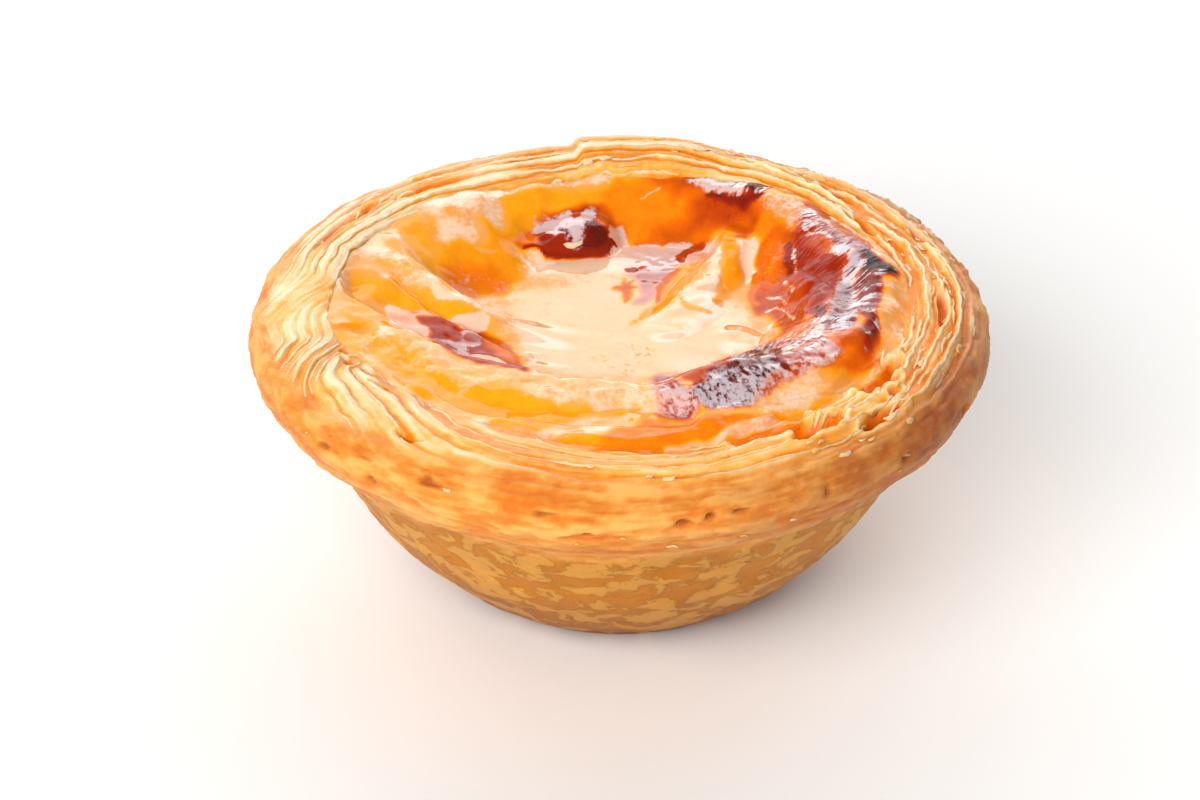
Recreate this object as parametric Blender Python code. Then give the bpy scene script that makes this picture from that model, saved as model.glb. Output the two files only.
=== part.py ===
"""Egg tart: a rolled puff pastry case with a laminated rim, filled with baked custard.

Z is up and the origin is at the centre of the base. The tables give places in
millimetres; every vertex is scaled to metres as it is made. Angles run
anticlockwise from +X, seen from above.
"""

import math

import bmesh
import bpy
from mathutils import Vector, noise

MM = 0.001

# Case, in millimetres
CASE_SEGMENTS = 96
BASE_RADIUS = 16.4
LIP_RADIUS = 38.4
RIM_HEIGHT = 30.9
CASE_FLOOR = 3.3            # top of the pastry under the custard
# Outside of the case from the base up to the lip: (radius, height)
WALL = (
    (17.7, 0.9), (21.0, 3.5), (24.0, 6.5), (26.9, 10.0), (29.4, 14.2), (31.4, 17.8),
    (32.9, 20.4), (34.6, 21.7), (36.6, 23.4), (37.9, 25.4), (LIP_RADIUS, 27.2), (37.9, 28.7),
)
# The laminated top, from the lip inwards: each sheet ends in a crest, then drops into a groove
SHEETS = 5
SHEET_DROP = 0.8            # depth of the groove behind each crest, where the sheets stand open
EDGE_STEP = 0.25            # how far the innermost sheet stands above the custard
SHEET_WAVE = 0.35           # how far a sheet's edge wanders, each way
OPEN_SIDE = math.radians(-20.0)
# Places where two sheets stand well apart: (degrees, place across the rim, half length, depth)
OPENINGS = (
    (-61, 0.65, 6.5, 1.1), (-43, 0.62, 4.5, 0.9), (-3, 0.5, 5.0, 1.0), (22, 0.3, 5.5, 0.7),
    (48, 0.5, 5.5, 0.7), (128, 0.7, 7.0, 0.6), (150, 0.5, 8.0, 0.6), (206, 0.9, 4.5, 0.6),
)
# Where the custard meets the innermost sheet: (degrees, radius, height)
FILLING_EDGE = (
    (-109, 25.6, 28.6), (-94, 26.6, 28.6), (-78, 27.3, 28.6), (-64, 27.3, 28.7),
    (-48, 27.3, 28.8), (-31, 28.3, 29.0), (-17, 29.0, 29.3), (-4, 29.5, 29.6),
    (9, 29.8, 29.9), (24, 29.4, 30.1), (44, 28.9, 30.2), (60, 29.0, 30.2),
    (78, 28.4, 30.3), (96, 27.9, 30.2), (113, 28.2, 30.2), (130, 29.2, 30.2),
    (157, 30.2, 30.3), (173, 29.9, 30.1), (187, 29.9, 29.9), (199, 29.0, 29.6),
    (209, 27.4, 29.3), (228, 25.9, 28.8),
)
# Inside of the case, hidden under the custard, and how far it stays inside that edge
INNER_WALL = ((29.0, 26.0, 0.2), (26.6, 18.0, 0.6), (21.2, 8.2, 1.0), (15.5, CASE_FLOOR, 1.0))

# Back flake: a leaf of pastry that lifts off the rim
FLAKE_START, FLAKE_END = 76.0, 98.0
FLAKE_LIFT = 1.1
# Fold on the left, where the rolled sheets meet and fan out
FOLD_ANGLE = 187.0
FOLD_WIDTH = 9.0
FOLD_DEPTH = 0.9

# Custard, in millimetres
CUSTARD_SEGMENTS = 84
CUSTARD_RINGS = 20
GAP = 0.3                   # between the pastry and the custard
POOL_LEVEL = 25.2
POOL_CENTRE = (2.0, 4.0)
SLOPE_ROUNDING = 0.45       # how far the slopes are rounded at foot and crest: 0 is straight
# Round the pool: (degrees, foot of the slope, crest, crest height)
SLOPES = (
    (-115, 12.4, 20.3, 29.4),
    (-90, 11.9, 19.6, 29.7),
    (-68, 11.6, 21.3, 30.0),
    (-42, 11.6, 22.4, 30.2),
    (-17, 13.8, 24.2, 30.2),
    (11, 14.8, 25.2, 30.8),
    (28, 15.2, 24.0, 30.8),
    (40, 16.4, 23.4, 30.7),
    (62, 17.6, 24.4, 30.7),
    (80, 17.6, 25.0, 30.4),
    (97, 17.4, 24.6, 30.2),
    (108, 16.0, 24.0, 30.0),
    (127, 17.0, 24.4, 30.0),
    (138, 15.3, 26.0, 30.1),
    (150, 16.6, 28.0, 30.2),
    (164, 17.6, 28.0, 30.0),
    (178, 15.6, 25.4, 29.7),
    (204, 15.0, 23.5, 29.1),
    (217, 14.6, 21.5, 29.0),
    (232, 13.2, 20.8, 29.1),
)
# Folds of the skin: name, half width of the flat, half width in all, (x, y, height) along it
SKIN_FOLDS = (
    ("trough", 1.7, 3.6, ((-26.0, 4.6, 28.7), (-20.4, 1.0, 27.3), (-13.2, -3.6, 26.2), (-5.0, -7.0, 25.2))),
    ("long ridge", 0.4, 3.0, ((-26.3, 15.0, 30.3), (-19.0, 7.0, 29.0), (-13.4, 3.6, 27.2), (-5.0, 1.3, 25.7),
                              (-1.0, 0.2, 25.5))),
    ("front ridge", 0.5, 3.2, ((-29.4, -2.0, 30.1), (-22.6, -5.0, 29.5), (-15.4, -9.6, 28.8),
                               (-7.0, -13.8, 29.1), (4.4, -15.8, 29.8))),
    ("blob", 1.4, 3.4, ((-8.4, 19.6, 27.1), (-5.0, 20.4, 28.0), (-1.8, 20.6, 28.0))),
    ("burnt roll", 0.4, 4.0, ((8.4, 27.6, 30.6), (13.4, 25.0, 31.0), (20.2, 18.7, 31.1), (25.2, 10.4, 31.5),
                              (27.3, 6.0, 31.8), (27.6, 2.6, 31.5), (25.8, -3.4, 31.1), (22.6, -8.9, 30.9),
                              (16.6, -12.2, 31.1), (9.6, -14.9, 31.1), (3.4, -18.2, 29.8))),
    ("tongue", 1.0, 3.5, ((12.9, 20.6, 27.5), (9.3, 11.8, 26.5), (5.4, 3.0, 25.5))),
    ("front hollow", 0.7, 2.6, ((-23.6, -8.8, 29.0), (-17.8, -15.6, 28.4), (-9.6, -18.8, 27.9),
                                (-1.0, -19.2, 28.1), (5.6, -20.6, 28.6))),
)
# Blisters: (x, y, radius, rise)
BLISTERS = ((-13.4, 14.2, 4.0, 0.5), (17.0, -1.4, 2.8, 0.5), (9.4, 0.0, 8.5, 0.45))


def smoothstep(low, high, value):
    t = min(max((value - low) / (high - low), 0.0), 1.0)
    return t * t * (3.0 - 2.0 * t)


def mix(a, b, t):
    return a + (b - a) * t


def catmull(p0, p1, p2, p3, t):
    """The value a fraction t of the way from p1 to p2 on a smooth curve through all four."""
    return 0.5 * (
        2.0 * p1
        + (p2 - p0) * t
        + (2.0 * p0 - 5.0 * p1 + 4.0 * p2 - p3) * t * t
        + (3.0 * p1 - p0 - 3.0 * p2 + p3) * t**3
    )


def around(rows, degrees):
    """The columns of a table of angles, read smoothly at one angle. The first angle is the lowest."""
    degrees = (degrees - rows[0][0]) % 360.0 + rows[0][0]
    count = len(rows)
    k = max(i for i in range(count) if rows[i][0] <= degrees)
    span = (rows[(k + 1) % count][0] - rows[k][0]) % 360.0
    t = (degrees - rows[k][0]) / span
    near = [rows[(k + step) % count][1:] for step in (-1, 0, 1, 2)]
    return [catmull(*column, t) for column in zip(*near)]


def smooth_path(points, steps=6):
    """A path through the points, with steps short pieces between each two."""
    ends = [points[0], *points, points[-1]]
    path = []
    for k in range(1, len(points)):
        four = ends[k - 1 : k + 3]
        path += [tuple(catmull(*axis, i / steps) for axis in zip(*four)) for i in range(steps)]
    return [*path, points[-1]]


def nearest(path, x, y):
    """Distance from a point to a path on plan, and the path's height there."""
    best = (math.inf, 0.0)
    for (ax, ay, az), (bx, by, bz) in zip(path, path[1:]):
        dx, dy = bx - ax, by - ay
        t = min(max(((x - ax) * dx + (y - ay) * dy) / (dx * dx + dy * dy), 0.0), 1.0)
        best = min(best, (math.hypot(x - ax - t * dx, y - ay - t * dy), mix(az, bz, t)))
    return best


def wander(angle, row, scale):
    """A smooth value within about 1 either way, which closes on itself round the tart."""
    place = (scale * math.cos(angle), scale * math.sin(angle), 1.7 * row)
    return noise.noise(Vector(place) + Vector((5.3, 2.1, 0.7))) * 1.6


def polar(radius, angle, height):
    return (radius * math.cos(angle), radius * math.sin(angle), height)


def turns(segments):
    return [2.0 * math.pi * i / segments for i in range(segments)]


def closed_solid(name, rings, low_centre, high_centre, material):
    """One body from rings of points, lowest pole first, closed by a fan at each pole."""
    mesh = bmesh.new()
    loops = [[mesh.verts.new(Vector(point) * MM) for point in ring] for ring in rings]
    count = len(rings[0])
    for lower, upper in zip(loops, loops[1:]):
        for i in range(count):
            j = (i + 1) % count
            mesh.faces.new((lower[i], lower[j], upper[j], upper[i]))
    for loop, centre, first, second in ((loops[0], low_centre, 1, 0), (loops[-1], high_centre, 0, 1)):
        pole = mesh.verts.new(Vector(centre) * MM)
        for i in range(count):
            mesh.faces.new((loop[(i + first) % count], loop[(i + second) % count], pole))
    for face in mesh.faces:
        face.smooth = True
    bmesh.ops.triangulate(mesh, faces=mesh.faces[:])
    data = bpy.data.meshes.new(name)
    mesh.to_mesh(data)
    mesh.free()
    data.materials.append(material)
    piece = bpy.data.objects.new(name, data)
    bpy.context.scene.collection.objects.link(piece)
    return piece


def flake_lift(angle):
    """How much of the back flake's lift there is: it starts gently and ends in a torn edge."""
    degrees = math.degrees(angle) % 360.0
    return smoothstep(FLAKE_START - 12.0, FLAKE_START + 4.0, degrees) * (
        1.0 - smoothstep(FLAKE_END - 1.5, FLAKE_END + 1.5, degrees)
    )


def fold_dip(angle):
    degrees = math.degrees(angle) % 360.0
    return math.exp(-(((degrees - FOLD_ANGLE) / FOLD_WIDTH) ** 2))


def filling_edge(angle):
    """Radius and height at which the custard meets the pastry."""
    return around(FILLING_EDGE, math.degrees(angle))


def sheet_groove(angle, across, row):
    """How deep the groove behind a sheet's crest is: deepest where the sheets stand apart."""
    depth = SHEET_DROP * (0.7 + 0.3 * math.cos(angle - OPEN_SIDE + 0.5 * row))
    for spot, place, half_length, extra in OPENINGS:
        turned = (math.degrees(angle) - spot + 180.0) % 360.0 - 180.0
        along = math.radians(turned) * LIP_RADIUS / half_length
        aside = (across - place) * SHEETS
        depth += extra * math.exp(-(along**2) - (aside * 1.6) ** 2)
    return depth


def rim_point(angle, across, row):
    """A point of the laminated top: across is 0 at the lip and 1 at the custard."""
    edge_radius, edge_height = filling_edge(angle)
    radius = mix(37.4, edge_radius + 0.2, across)
    height = mix(29.1, RIM_HEIGHT, 1.0 - (1.0 - across) ** 2.2)
    height = mix(height, edge_height + EDGE_STEP, smoothstep(0.45, 1.0, across))
    middle = math.sin(math.pi * min(across * 1.15, 1.0))
    radius += SHEET_WAVE * wander(angle, row, 3.1) * middle
    height += 0.3 * wander(angle, row + 9, 2.3) * middle
    height += FLAKE_LIFT * flake_lift(angle) * math.sin(math.pi * across) ** 0.7
    height -= FOLD_DEPTH * fold_dip(angle) * middle
    return radius, height


def crust_rings():
    """Rings of the case, from the base up the outside, over the rim and down to the inner floor."""
    angles = turns(CASE_SEGMENTS)
    rings = [[polar(BASE_RADIUS, angle, 0.0) for angle in angles]]
    for row, (radius, height) in enumerate(WALL):
        loose = smoothstep(0.0, 12.0, height)
        rings.append([])
        for angle in angles:
            out = 0.35 * loose * wander(angle, 0.35 * row, 1.6)
            up = 0.3 * smoothstep(18.0, 26.0, height) * wander(angle, 3, 1.9)
            rings[-1].append(polar(radius + out, angle, height + up))
    for sheet in range(SHEETS):
        crest = sheet / SHEETS
        groove = (sheet + 0.45) / SHEETS
        rings.append([])
        for angle in angles:
            radius, height = rim_point(angle, crest, sheet)
            rings[-1].append(polar(radius, angle, height))
        rings.append([])
        for angle in angles:
            radius, height = rim_point(angle, groove, sheet)
            rings[-1].append(polar(radius, angle, height - sheet_groove(angle, groove, sheet)))
    rings.append([])
    for angle in angles:
        radius, height = rim_point(angle, 1.0, SHEETS)
        rings[-1].append(polar(radius, angle, height))
    return rings + inner_wall(angles, 0.0)


def inner_wall(angles, gap):
    """Rings down the inside of the case, from under the rim to its floor, set in by a gap."""
    rings = []
    for widest, height, inset in INNER_WALL:
        radii = [min(widest, filling_edge(angle)[0] - inset) - gap for angle in angles]
        rings.append([polar(radius, angle, height) for radius, angle in zip(radii, angles)])
    return rings


def skin_height(x, y, folds):
    """Height of the custard's skin over a point on plan."""
    east, north = x - POOL_CENTRE[0], y - POOL_CENTRE[1]
    angle = math.atan2(north, east)
    out = math.hypot(east, north)
    foot, crest, crest_height = around(SLOPES, math.degrees(angle))
    climb = min(max((out - foot) / (crest - foot), 0.0), 1.0)
    climb = mix(climb, smoothstep(0.0, 1.0, climb), SLOPE_ROUNDING)
    height = mix(POOL_LEVEL, crest_height, climb)
    edge_radius, edge_height = filling_edge(math.atan2(y, x))
    inside_edge = max(edge_radius - math.hypot(x, y), 0.0)
    beyond = max(out - crest, 0.0)
    height = mix(height, edge_height, smoothstep(0.0, 1.0, beyond / (beyond + inside_edge + 0.01)))
    for flat, reach, path in folds:
        distance, fold_height = nearest(path, x, y)
        height = mix(height, fold_height, 1.0 - smoothstep(flat, reach, distance))
    for bx, by, radius, rise in BLISTERS:
        height += rise * (1.0 - smoothstep(0.2 * radius, radius, math.hypot(x - bx, y - by)))
    return height + 0.12 * noise.noise(Vector((0.45 * x, 0.45 * y, 1.0)))


def custard_rings():
    """Rings of the filling, from its hidden floor up the pastry and in over the skin."""
    angles = turns(CUSTARD_SEGMENTS)
    rings = inner_wall(angles, GAP)[::-1]
    rings[0] = [(x, y, CASE_FLOOR + GAP) for x, y, _ in rings[0]]
    folds = [(flat, reach, smooth_path(points)) for _, flat, reach, points in SKIN_FOLDS]
    for ring in range(CUSTARD_RINGS):
        share = 1.0 - ring / CUSTARD_RINGS
        rings.append([])
        for angle in angles:
            x, y, _ = polar((filling_edge(angle)[0] - GAP) * share, angle, 0.0)
            rings[-1].append((x, y, skin_height(x, y, folds)))
    return rings, (0.0, 0.0, skin_height(0.0, 0.0, folds))


def baked_material(name, colour, roughness):
    material = bpy.data.materials.new(name)
    material.use_nodes = True
    shader = material.node_tree.nodes["Principled BSDF"]
    shader.inputs["Base Color"].default_value = (*colour, 1.0)
    shader.inputs["Roughness"].default_value = roughness
    shader.inputs["Metallic"].default_value = 0.0
    material.diffuse_color = (*colour, 1.0)
    return material


def centre_on_origin(pieces):
    """Moves the points so that the whole tart's box is centred over the origin."""
    points = [vertex.co for piece in pieces for vertex in piece.data.vertices]
    for axis in (0, 1):
        middle = (min(p[axis] for p in points) + max(p[axis] for p in points)) / 2.0
        for point in points:
            point[axis] -= middle


def main():
    for stale in list(bpy.data.objects):
        bpy.data.objects.remove(stale)
    pastry = baked_material("baked_pastry", (0.72, 0.37, 0.10), 0.55)
    filling = baked_material("baked_custard", (0.86, 0.42, 0.06), 0.22)
    crust = closed_solid("crust", crust_rings(), (0.0, 0.0, 0.0), (0.0, 0.0, CASE_FLOOR), pastry)
    rings, skin_centre = custard_rings()
    custard = closed_solid("custard", rings, (0.0, 0.0, CASE_FLOOR + GAP), skin_centre, filling)
    centre_on_origin([crust, custard])


main()
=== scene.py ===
import math
import bpy
import numpy as np
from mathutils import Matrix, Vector


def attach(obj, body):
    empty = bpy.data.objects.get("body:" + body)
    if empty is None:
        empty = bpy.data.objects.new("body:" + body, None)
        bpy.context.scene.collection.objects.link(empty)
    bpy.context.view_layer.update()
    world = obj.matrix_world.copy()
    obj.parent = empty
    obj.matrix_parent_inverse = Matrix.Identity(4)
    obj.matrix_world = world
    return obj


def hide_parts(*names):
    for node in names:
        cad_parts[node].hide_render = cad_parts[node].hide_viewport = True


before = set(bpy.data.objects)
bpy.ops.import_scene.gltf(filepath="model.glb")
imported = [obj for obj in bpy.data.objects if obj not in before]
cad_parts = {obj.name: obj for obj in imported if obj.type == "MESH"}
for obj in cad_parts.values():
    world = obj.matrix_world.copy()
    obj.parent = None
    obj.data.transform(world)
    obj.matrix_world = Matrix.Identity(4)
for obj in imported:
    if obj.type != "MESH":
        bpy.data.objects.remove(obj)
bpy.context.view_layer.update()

mm = 0.001   # the tables below are in millimetres, with angles anticlockwise from +X seen from above


# small tools for shaping

def ease(low, high, value):
    # 0 up to low, 1 from high, and smooth between them; low may be the larger
    t = np.clip((value - low) / (high - low), 0, 1)
    return t * t * (3 - 2 * t)


def blend(a, b, t):
    return a + (b - a) * t


def turnedFrom(degrees, spot):
    # the angle from spot, from -180 to 180
    return (degrees - spot + 180) % 360 - 180


def stacked(*columns):
    # points from their coordinates, which may be arrays or plain numbers
    return np.stack(np.broadcast_arrays(*columns), -1)


def chance(cells, seed):
    # one number from 0 to 1 for each whole-number cell
    mixed = seed * 1274126177 + sum(cells[..., k].astype(np.int64) * factor
                                    for k, factor in enumerate((374761393, 668265263, 2147483647)))
    mixed = mixed & 0xFFFFFFFF
    mixed = ((mixed ^ (mixed >> 13)) * 1274126177) & 0xFFFFFFFF
    return ((mixed ^ (mixed >> 16)) & 0xFFFFFFFF) / 4294967295.0


def lumps(points, size, seed=0):
    # smooth bumps from -1 to 1, about size across
    spot = points / size
    cell = np.floor(spot).astype(np.int64)
    part = spot - cell
    part = part ** 3 * (part * (part * 6 - 15) + 10)
    total = 0
    for corner in np.ndindex(2, 2, 2):
        step = np.array(corner)
        weight = np.prod(np.where(step == 1, part, 1 - part), axis=-1)
        total = total + weight * chance(cell + step, seed)
    return total * 2 - 1


def roughLumps(points, size, octaves=3, seed=0, keep=0.5):
    # lumps with finer ones laid over them, each keep times as strong as the last
    total, strength, most = 0, 1.0, 0
    for k in range(octaves):
        total = total + strength * lumps(points, size / 2 ** k, seed + 31 * k)
        most += strength
        strength *= keep
    return total / most


def catmull(p0, p1, p2, p3, t):
    return 0.5 * (2 * p1 + (p2 - p0) * t + (2 * p0 - 5 * p1 + 4 * p2 - p3) * t * t
                  + (3 * p1 - p0 - 3 * p2 + p3) * t ** 3)


def smoothCurve(points, steps=10):
    points = np.array(points, float)
    last = len(points) - 1
    t = np.linspace(0, last, last * steps + 1)
    k = np.clip(t.astype(int), 0, last - 1)
    near = [points[np.clip(k + step, 0, last)] for step in (-1, 0, 1, 2)]
    return catmull(*near, (t - k)[:, None])


def closedCurve(points, steps=5):
    points = np.array(points, float)
    t = np.arange(len(points) * steps) / steps
    k = t.astype(int)
    near = [points[(k + step) % len(points)] for step in (-1, 0, 1, 2)]
    return catmull(*near, (t - k)[:, None])


def toPiece(x, y, start, end):
    # distance on plan to a straight piece, and how far along it is, 0 to 1
    (ax, ay), (dx, dy) = start, end - start
    t = np.clip(((x - ax) * dx + (y - ay) * dy) / (dx * dx + dy * dy + 1e-12), 0, 1)
    return np.hypot(x - ax - t * dx, y - ay - t * dy), t


def nearCurve(x, y, points, steps=10):
    # distance on plan to a smooth curve, the curve's further columns there, and how far along it is, 0 to 1
    curve = smoothCurve(points, steps)
    best = np.full(np.shape(x), 1e9)
    place = np.zeros(np.shape(x))
    for k in range(len(curve) - 1):
        away, t = toPiece(x, y, curve[k, :2], curve[k + 1, :2])
        place = np.where(away < best, k + t, place)
        best = np.minimum(best, away)
    k = np.clip(place.astype(int), 0, len(curve) - 2)
    further = blend(curve[k], curve[k + 1], (place - k)[..., None])[..., 2:]
    return best, further, place / (len(curve) - 1)


def insideOutline(x, y, outline):
    # how far inside a smooth closed outline each place lies; less than nothing outside it
    curve = closedCurve(outline)
    best = np.full(np.shape(x), 1e9)
    within = np.zeros(np.shape(x), bool)
    for start, end in zip(curve, np.roll(curve, -1, 0)):
        best = np.minimum(best, toPiece(x, y, start, end)[0])
        (ax, ay), (bx, by) = start, end
        crossed = (ay > y) != (by > y)
        within = within ^ (crossed & (x < ax + (y - ay) * (bx - ax) / ((by - ay) or 1e-12)))
    return np.where(within, best, -best)


def readRound(rows, degrees):
    # a table of angles read smoothly at each angle; it closes on itself
    table = np.array(rows, float)
    first = table[0, 0]
    degrees = (degrees - first) % 360 + first
    count = len(table)
    k = np.searchsorted(table[:, 0], degrees, side="right") - 1
    span = (table[(k + 1) % count, 0] - table[k, 0]) % 360
    t = ((degrees - table[k, 0]) / span)[..., None]
    near = [table[(k + step) % count, 1:] for step in (-1, 0, 1, 2)]
    return np.moveaxis(catmull(*near, t), -1, 0)


def makeMesh(name, points, faces, values=None, material=None):
    data = bpy.data.meshes.new(name)
    data.vertices.add(len(points))
    data.vertices.foreach_set("co", (np.asarray(points, np.float32) * mm).ravel())
    faces = np.asarray(faces, np.int32)
    corners = faces.shape[1]
    data.loops.add(faces.size)
    data.loops.foreach_set("vertex_index", faces.ravel())
    data.polygons.add(len(faces))
    data.polygons.foreach_set("loop_start", np.arange(0, faces.size, corners, dtype=np.int32))
    data.polygons.foreach_set("loop_total", np.full(len(faces), corners, np.int32))
    data.update(calc_edges=True)
    data.shade_smooth()
    for label, numbers in (values or {}).items():
        column = data.attributes.new(label, "FLOAT", "POINT").data
        column.foreach_set("value", np.asarray(numbers, np.float32).ravel())
    data.materials.append(material)
    piece = bpy.data.objects.new(name, data)
    bpy.context.scene.collection.objects.link(piece)
    return piece


def ringFaces(rings, around, start=0):
    # triangles between rings of points, closed round
    row = np.arange(rings - 1)[:, None] * around
    a = (row + np.arange(around)[None, :]).ravel()
    b = (row + (np.arange(around)[None, :] + 1) % around).ravel()
    quads = np.stack([a, b, b + around, a + around], 1)
    return np.concatenate([quads[:, [0, 1, 2]], quads[:, [0, 2, 3]]]) + start


def fanFaces(firstOfRing, around, centre, upwards):
    k = np.arange(around)
    ends = (firstOfRing + k, firstOfRing + (k + 1) % around)
    return np.stack([*(ends if upwards else ends[::-1]), np.full(around, centre)], 1)


def closedByFans(rings, around, lowCentre, highCentre):
    # the faces of a body made of rings, with a fan over the first and the last of them
    lastRing = (rings - 1) * around
    return np.concatenate([ringFaces(rings, around), fanFaces(lastRing, around, highCentre, True),
                           fanFaces(0, around, lowCentre, False)])


# small tools for materials

def tone(red, green, blue):
    # a colour as a paint chart gives it, 0 to 255, to the light that it reflects
    def channel(value):
        value /= 255
        return value / 12.92 if value <= 0.04045 else ((value + 0.055) / 1.055) ** 2.4
    return (channel(red), channel(green), channel(blue), 1.0)


def newMaterial(name):
    material = bpy.data.materials.new(name)
    material.use_nodes = True
    tree = material.node_tree
    return material, tree, tree.nodes["Principled BSDF"]


def addNode(tree, kind, **settings):
    node = tree.nodes.new(kind)
    for key, value in settings.items():
        setattr(node, key, value)
    return node


def feed(tree, target, value):
    # a socket takes another socket or a plain number
    if isinstance(value, bpy.types.NodeSocket):
        tree.links.new(value, target)
    else:
        target.default_value = value


def sums(tree, operation, a, b=0.0, c=0.0, clamp=False):
    node = addNode(tree, "ShaderNodeMath", operation=operation, use_clamp=clamp)
    for socket, value in zip(node.inputs, (a, b, c)):
        feed(tree, socket, value)
    return node.outputs[0]


def add(tree, a, b, clamp=False):
    return sums(tree, "ADD", a, b, clamp=clamp)


def less(tree, a, b):
    return sums(tree, "SUBTRACT", a, b)


def times(tree, a, b, clamp=False):
    return sums(tree, "MULTIPLY", a, b, clamp=clamp)


def timesPlus(tree, a, b, c, clamp=False):
    return sums(tree, "MULTIPLY_ADD", a, b, c, clamp)


def mixColours(tree, amount, first, second):
    node = addNode(tree, "ShaderNodeMix", data_type="RGBA")
    feed(tree, node.inputs[0], amount)
    feed(tree, node.inputs[6], first)
    feed(tree, node.inputs[7], second)
    return node.outputs[2]


def colourRamp(tree, amount, stops):
    node = addNode(tree, "ShaderNodeValToRGB")
    ramp = node.color_ramp
    while len(ramp.elements) < len(stops):
        ramp.elements.new(0.5)
    for element, (place, colour) in zip(ramp.elements, stops):
        element.position = place
        element.color = colour
    feed(tree, node.inputs[0], amount)
    return node.outputs[0]


def spreadOut(tree, value, low, high, how="LINEAR"):
    # 0 at low and 1 at high
    node = addNode(tree, "ShaderNodeMapRange", clamp=True, interpolation_type=how)
    feed(tree, node.inputs["Value"], value)
    feed(tree, node.inputs["From Min"], low)
    feed(tree, node.inputs["From Max"], high)
    return node.outputs["Result"]


def addNoise(tree, place, scale, detail, roughness=0.5, distortion=0.0):
    node = addNode(tree, "ShaderNodeTexNoise")
    feed(tree, node.inputs["Vector"], place)
    feed(tree, node.inputs["Scale"], scale)
    node.inputs["Detail"].default_value = detail
    node.inputs["Roughness"].default_value = roughness
    node.inputs["Distortion"].default_value = distortion
    return node.outputs["Fac"]


def addBump(tree, shader, height, strength, distance):
    bump = addNode(tree, "ShaderNodeBump")
    bump.inputs["Strength"].default_value = strength
    bump.inputs["Distance"].default_value = distance * mm
    feed(tree, bump.inputs["Height"], height)
    feed(tree, shader.inputs["Normal"], bump.outputs["Normal"])


def position(tree):
    return addNode(tree, "ShaderNodeNewGeometry").outputs["Position"]


def readValue(tree, label):
    return addNode(tree, "ShaderNodeAttribute", attribute_name=label).outputs["Fac"]


def newGroup(name, inputs, outputs):
    group = bpy.data.node_groups.new(name, "ShaderNodeTree")
    for label, start in inputs.items():
        socket = group.interface.new_socket(label, in_out="INPUT", socket_type="NodeSocketFloat")
        socket.default_value = start
    for label in outputs:
        group.interface.new_socket(label, in_out="OUTPUT", socket_type="NodeSocketFloat")
    return group, group.nodes.new("NodeGroupInput").outputs, group.nodes.new("NodeGroupOutput").inputs


def useGroup(tree, group, **values):
    node = addNode(tree, "ShaderNodeGroup", node_tree=group)
    for label, value in values.items():
        feed(tree, node.inputs[label], value)
    return node.outputs


# camera, light and floor

stand = {
    "looksDown": 31.0,        # degrees
    "distance": 470.0,
    "aim": (-2.0, 0.0, 18.6),
    "framedWidth": 126.2,     # how wide the picture is at the aim
    "sensor": 36.0,
    # place, aim, size, glow, and whether it shows in glossy surfaces
    "panels": {
        "whiteBackPanel": ((0.0, 760.0, 430.0), (0.0, 0.0, 60.0), (1500.0, 760.0), 2.6, True),
        "frontKey": ((-330.0, -700.0, 560.0), (0.0, 0.0, 15.0), (900.0, 560.0), 7.0, False),
    },
    "skyTint": (1, 0.985, 0.965, 1), "skyGlow": 0.24,
    "floorSide": 6000.0, "floorColour": (0.9, 0.9, 0.89, 1), "floorRoughness": 0.9,
}


def softPanel(name, place, aim, size, glow, mirrored):
    lamp = bpy.data.lights.new(name, "AREA")
    lamp.shape = "RECTANGLE"
    lamp.size = size[0] * mm
    lamp.size_y = size[1] * mm
    lamp.energy = glow * math.pi * lamp.size * lamp.size_y   # glow is what a mirror would show
    holder = bpy.data.objects.new(name, lamp)
    bpy.context.scene.collection.objects.link(holder)
    holder.location = np.array(place) * mm
    towards = (np.array(aim) - np.array(place)) * mm
    holder.rotation_euler = Vector(towards).to_track_quat("-Z", "Y").to_euler()
    holder.visible_camera = False
    holder.visible_glossy = mirrored


def setUpCamera():
    tilt = math.radians(stand["looksDown"])
    back = np.array((0.0, -math.cos(tilt), math.sin(tilt))) * stand["distance"]
    lens = bpy.data.cameras.new("tableCamera")
    lens.sensor_width = stand["sensor"]
    lens.lens = stand["sensor"] * stand["distance"] / stand["framedWidth"]
    lens.clip_start = 0.01
    camera = bpy.data.objects.new("tableCamera", lens)
    bpy.context.scene.collection.objects.link(camera)
    camera.location = (np.array(stand["aim"]) + back) * mm
    camera.rotation_euler = (math.pi / 2 - tilt, 0, 0)
    bpy.context.scene.camera = camera


def setUpLight():
    for name, panel in stand["panels"].items():
        softPanel(name, *panel)
    sky = bpy.data.worlds.new("softRoom")
    sky.use_nodes = True
    glow = sky.node_tree.nodes["Background"]
    glow.inputs["Color"].default_value = stand["skyTint"]
    glow.inputs["Strength"].default_value = stand["skyGlow"]
    bpy.context.scene.world = sky
    bpy.context.scene.view_settings.view_transform = "Standard"


def layFloor():
    paper, _, shader = newMaterial("palePaper")
    shader.inputs["Base Color"].default_value = stand["floorColour"]
    shader.inputs["Roughness"].default_value = stand["floorRoughness"]
    half = stand["floorSide"] / 2
    corners = [(-half, -half, 0), (half, -half, 0), (half, half, 0), (-half, half, 0)]
    makeMesh("floor", corners, [(0, 1, 2, 3)], material=paper)


setUpCamera()
setUpLight()
layFloor()
print("studio is set up")


# effects that the materials share

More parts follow.
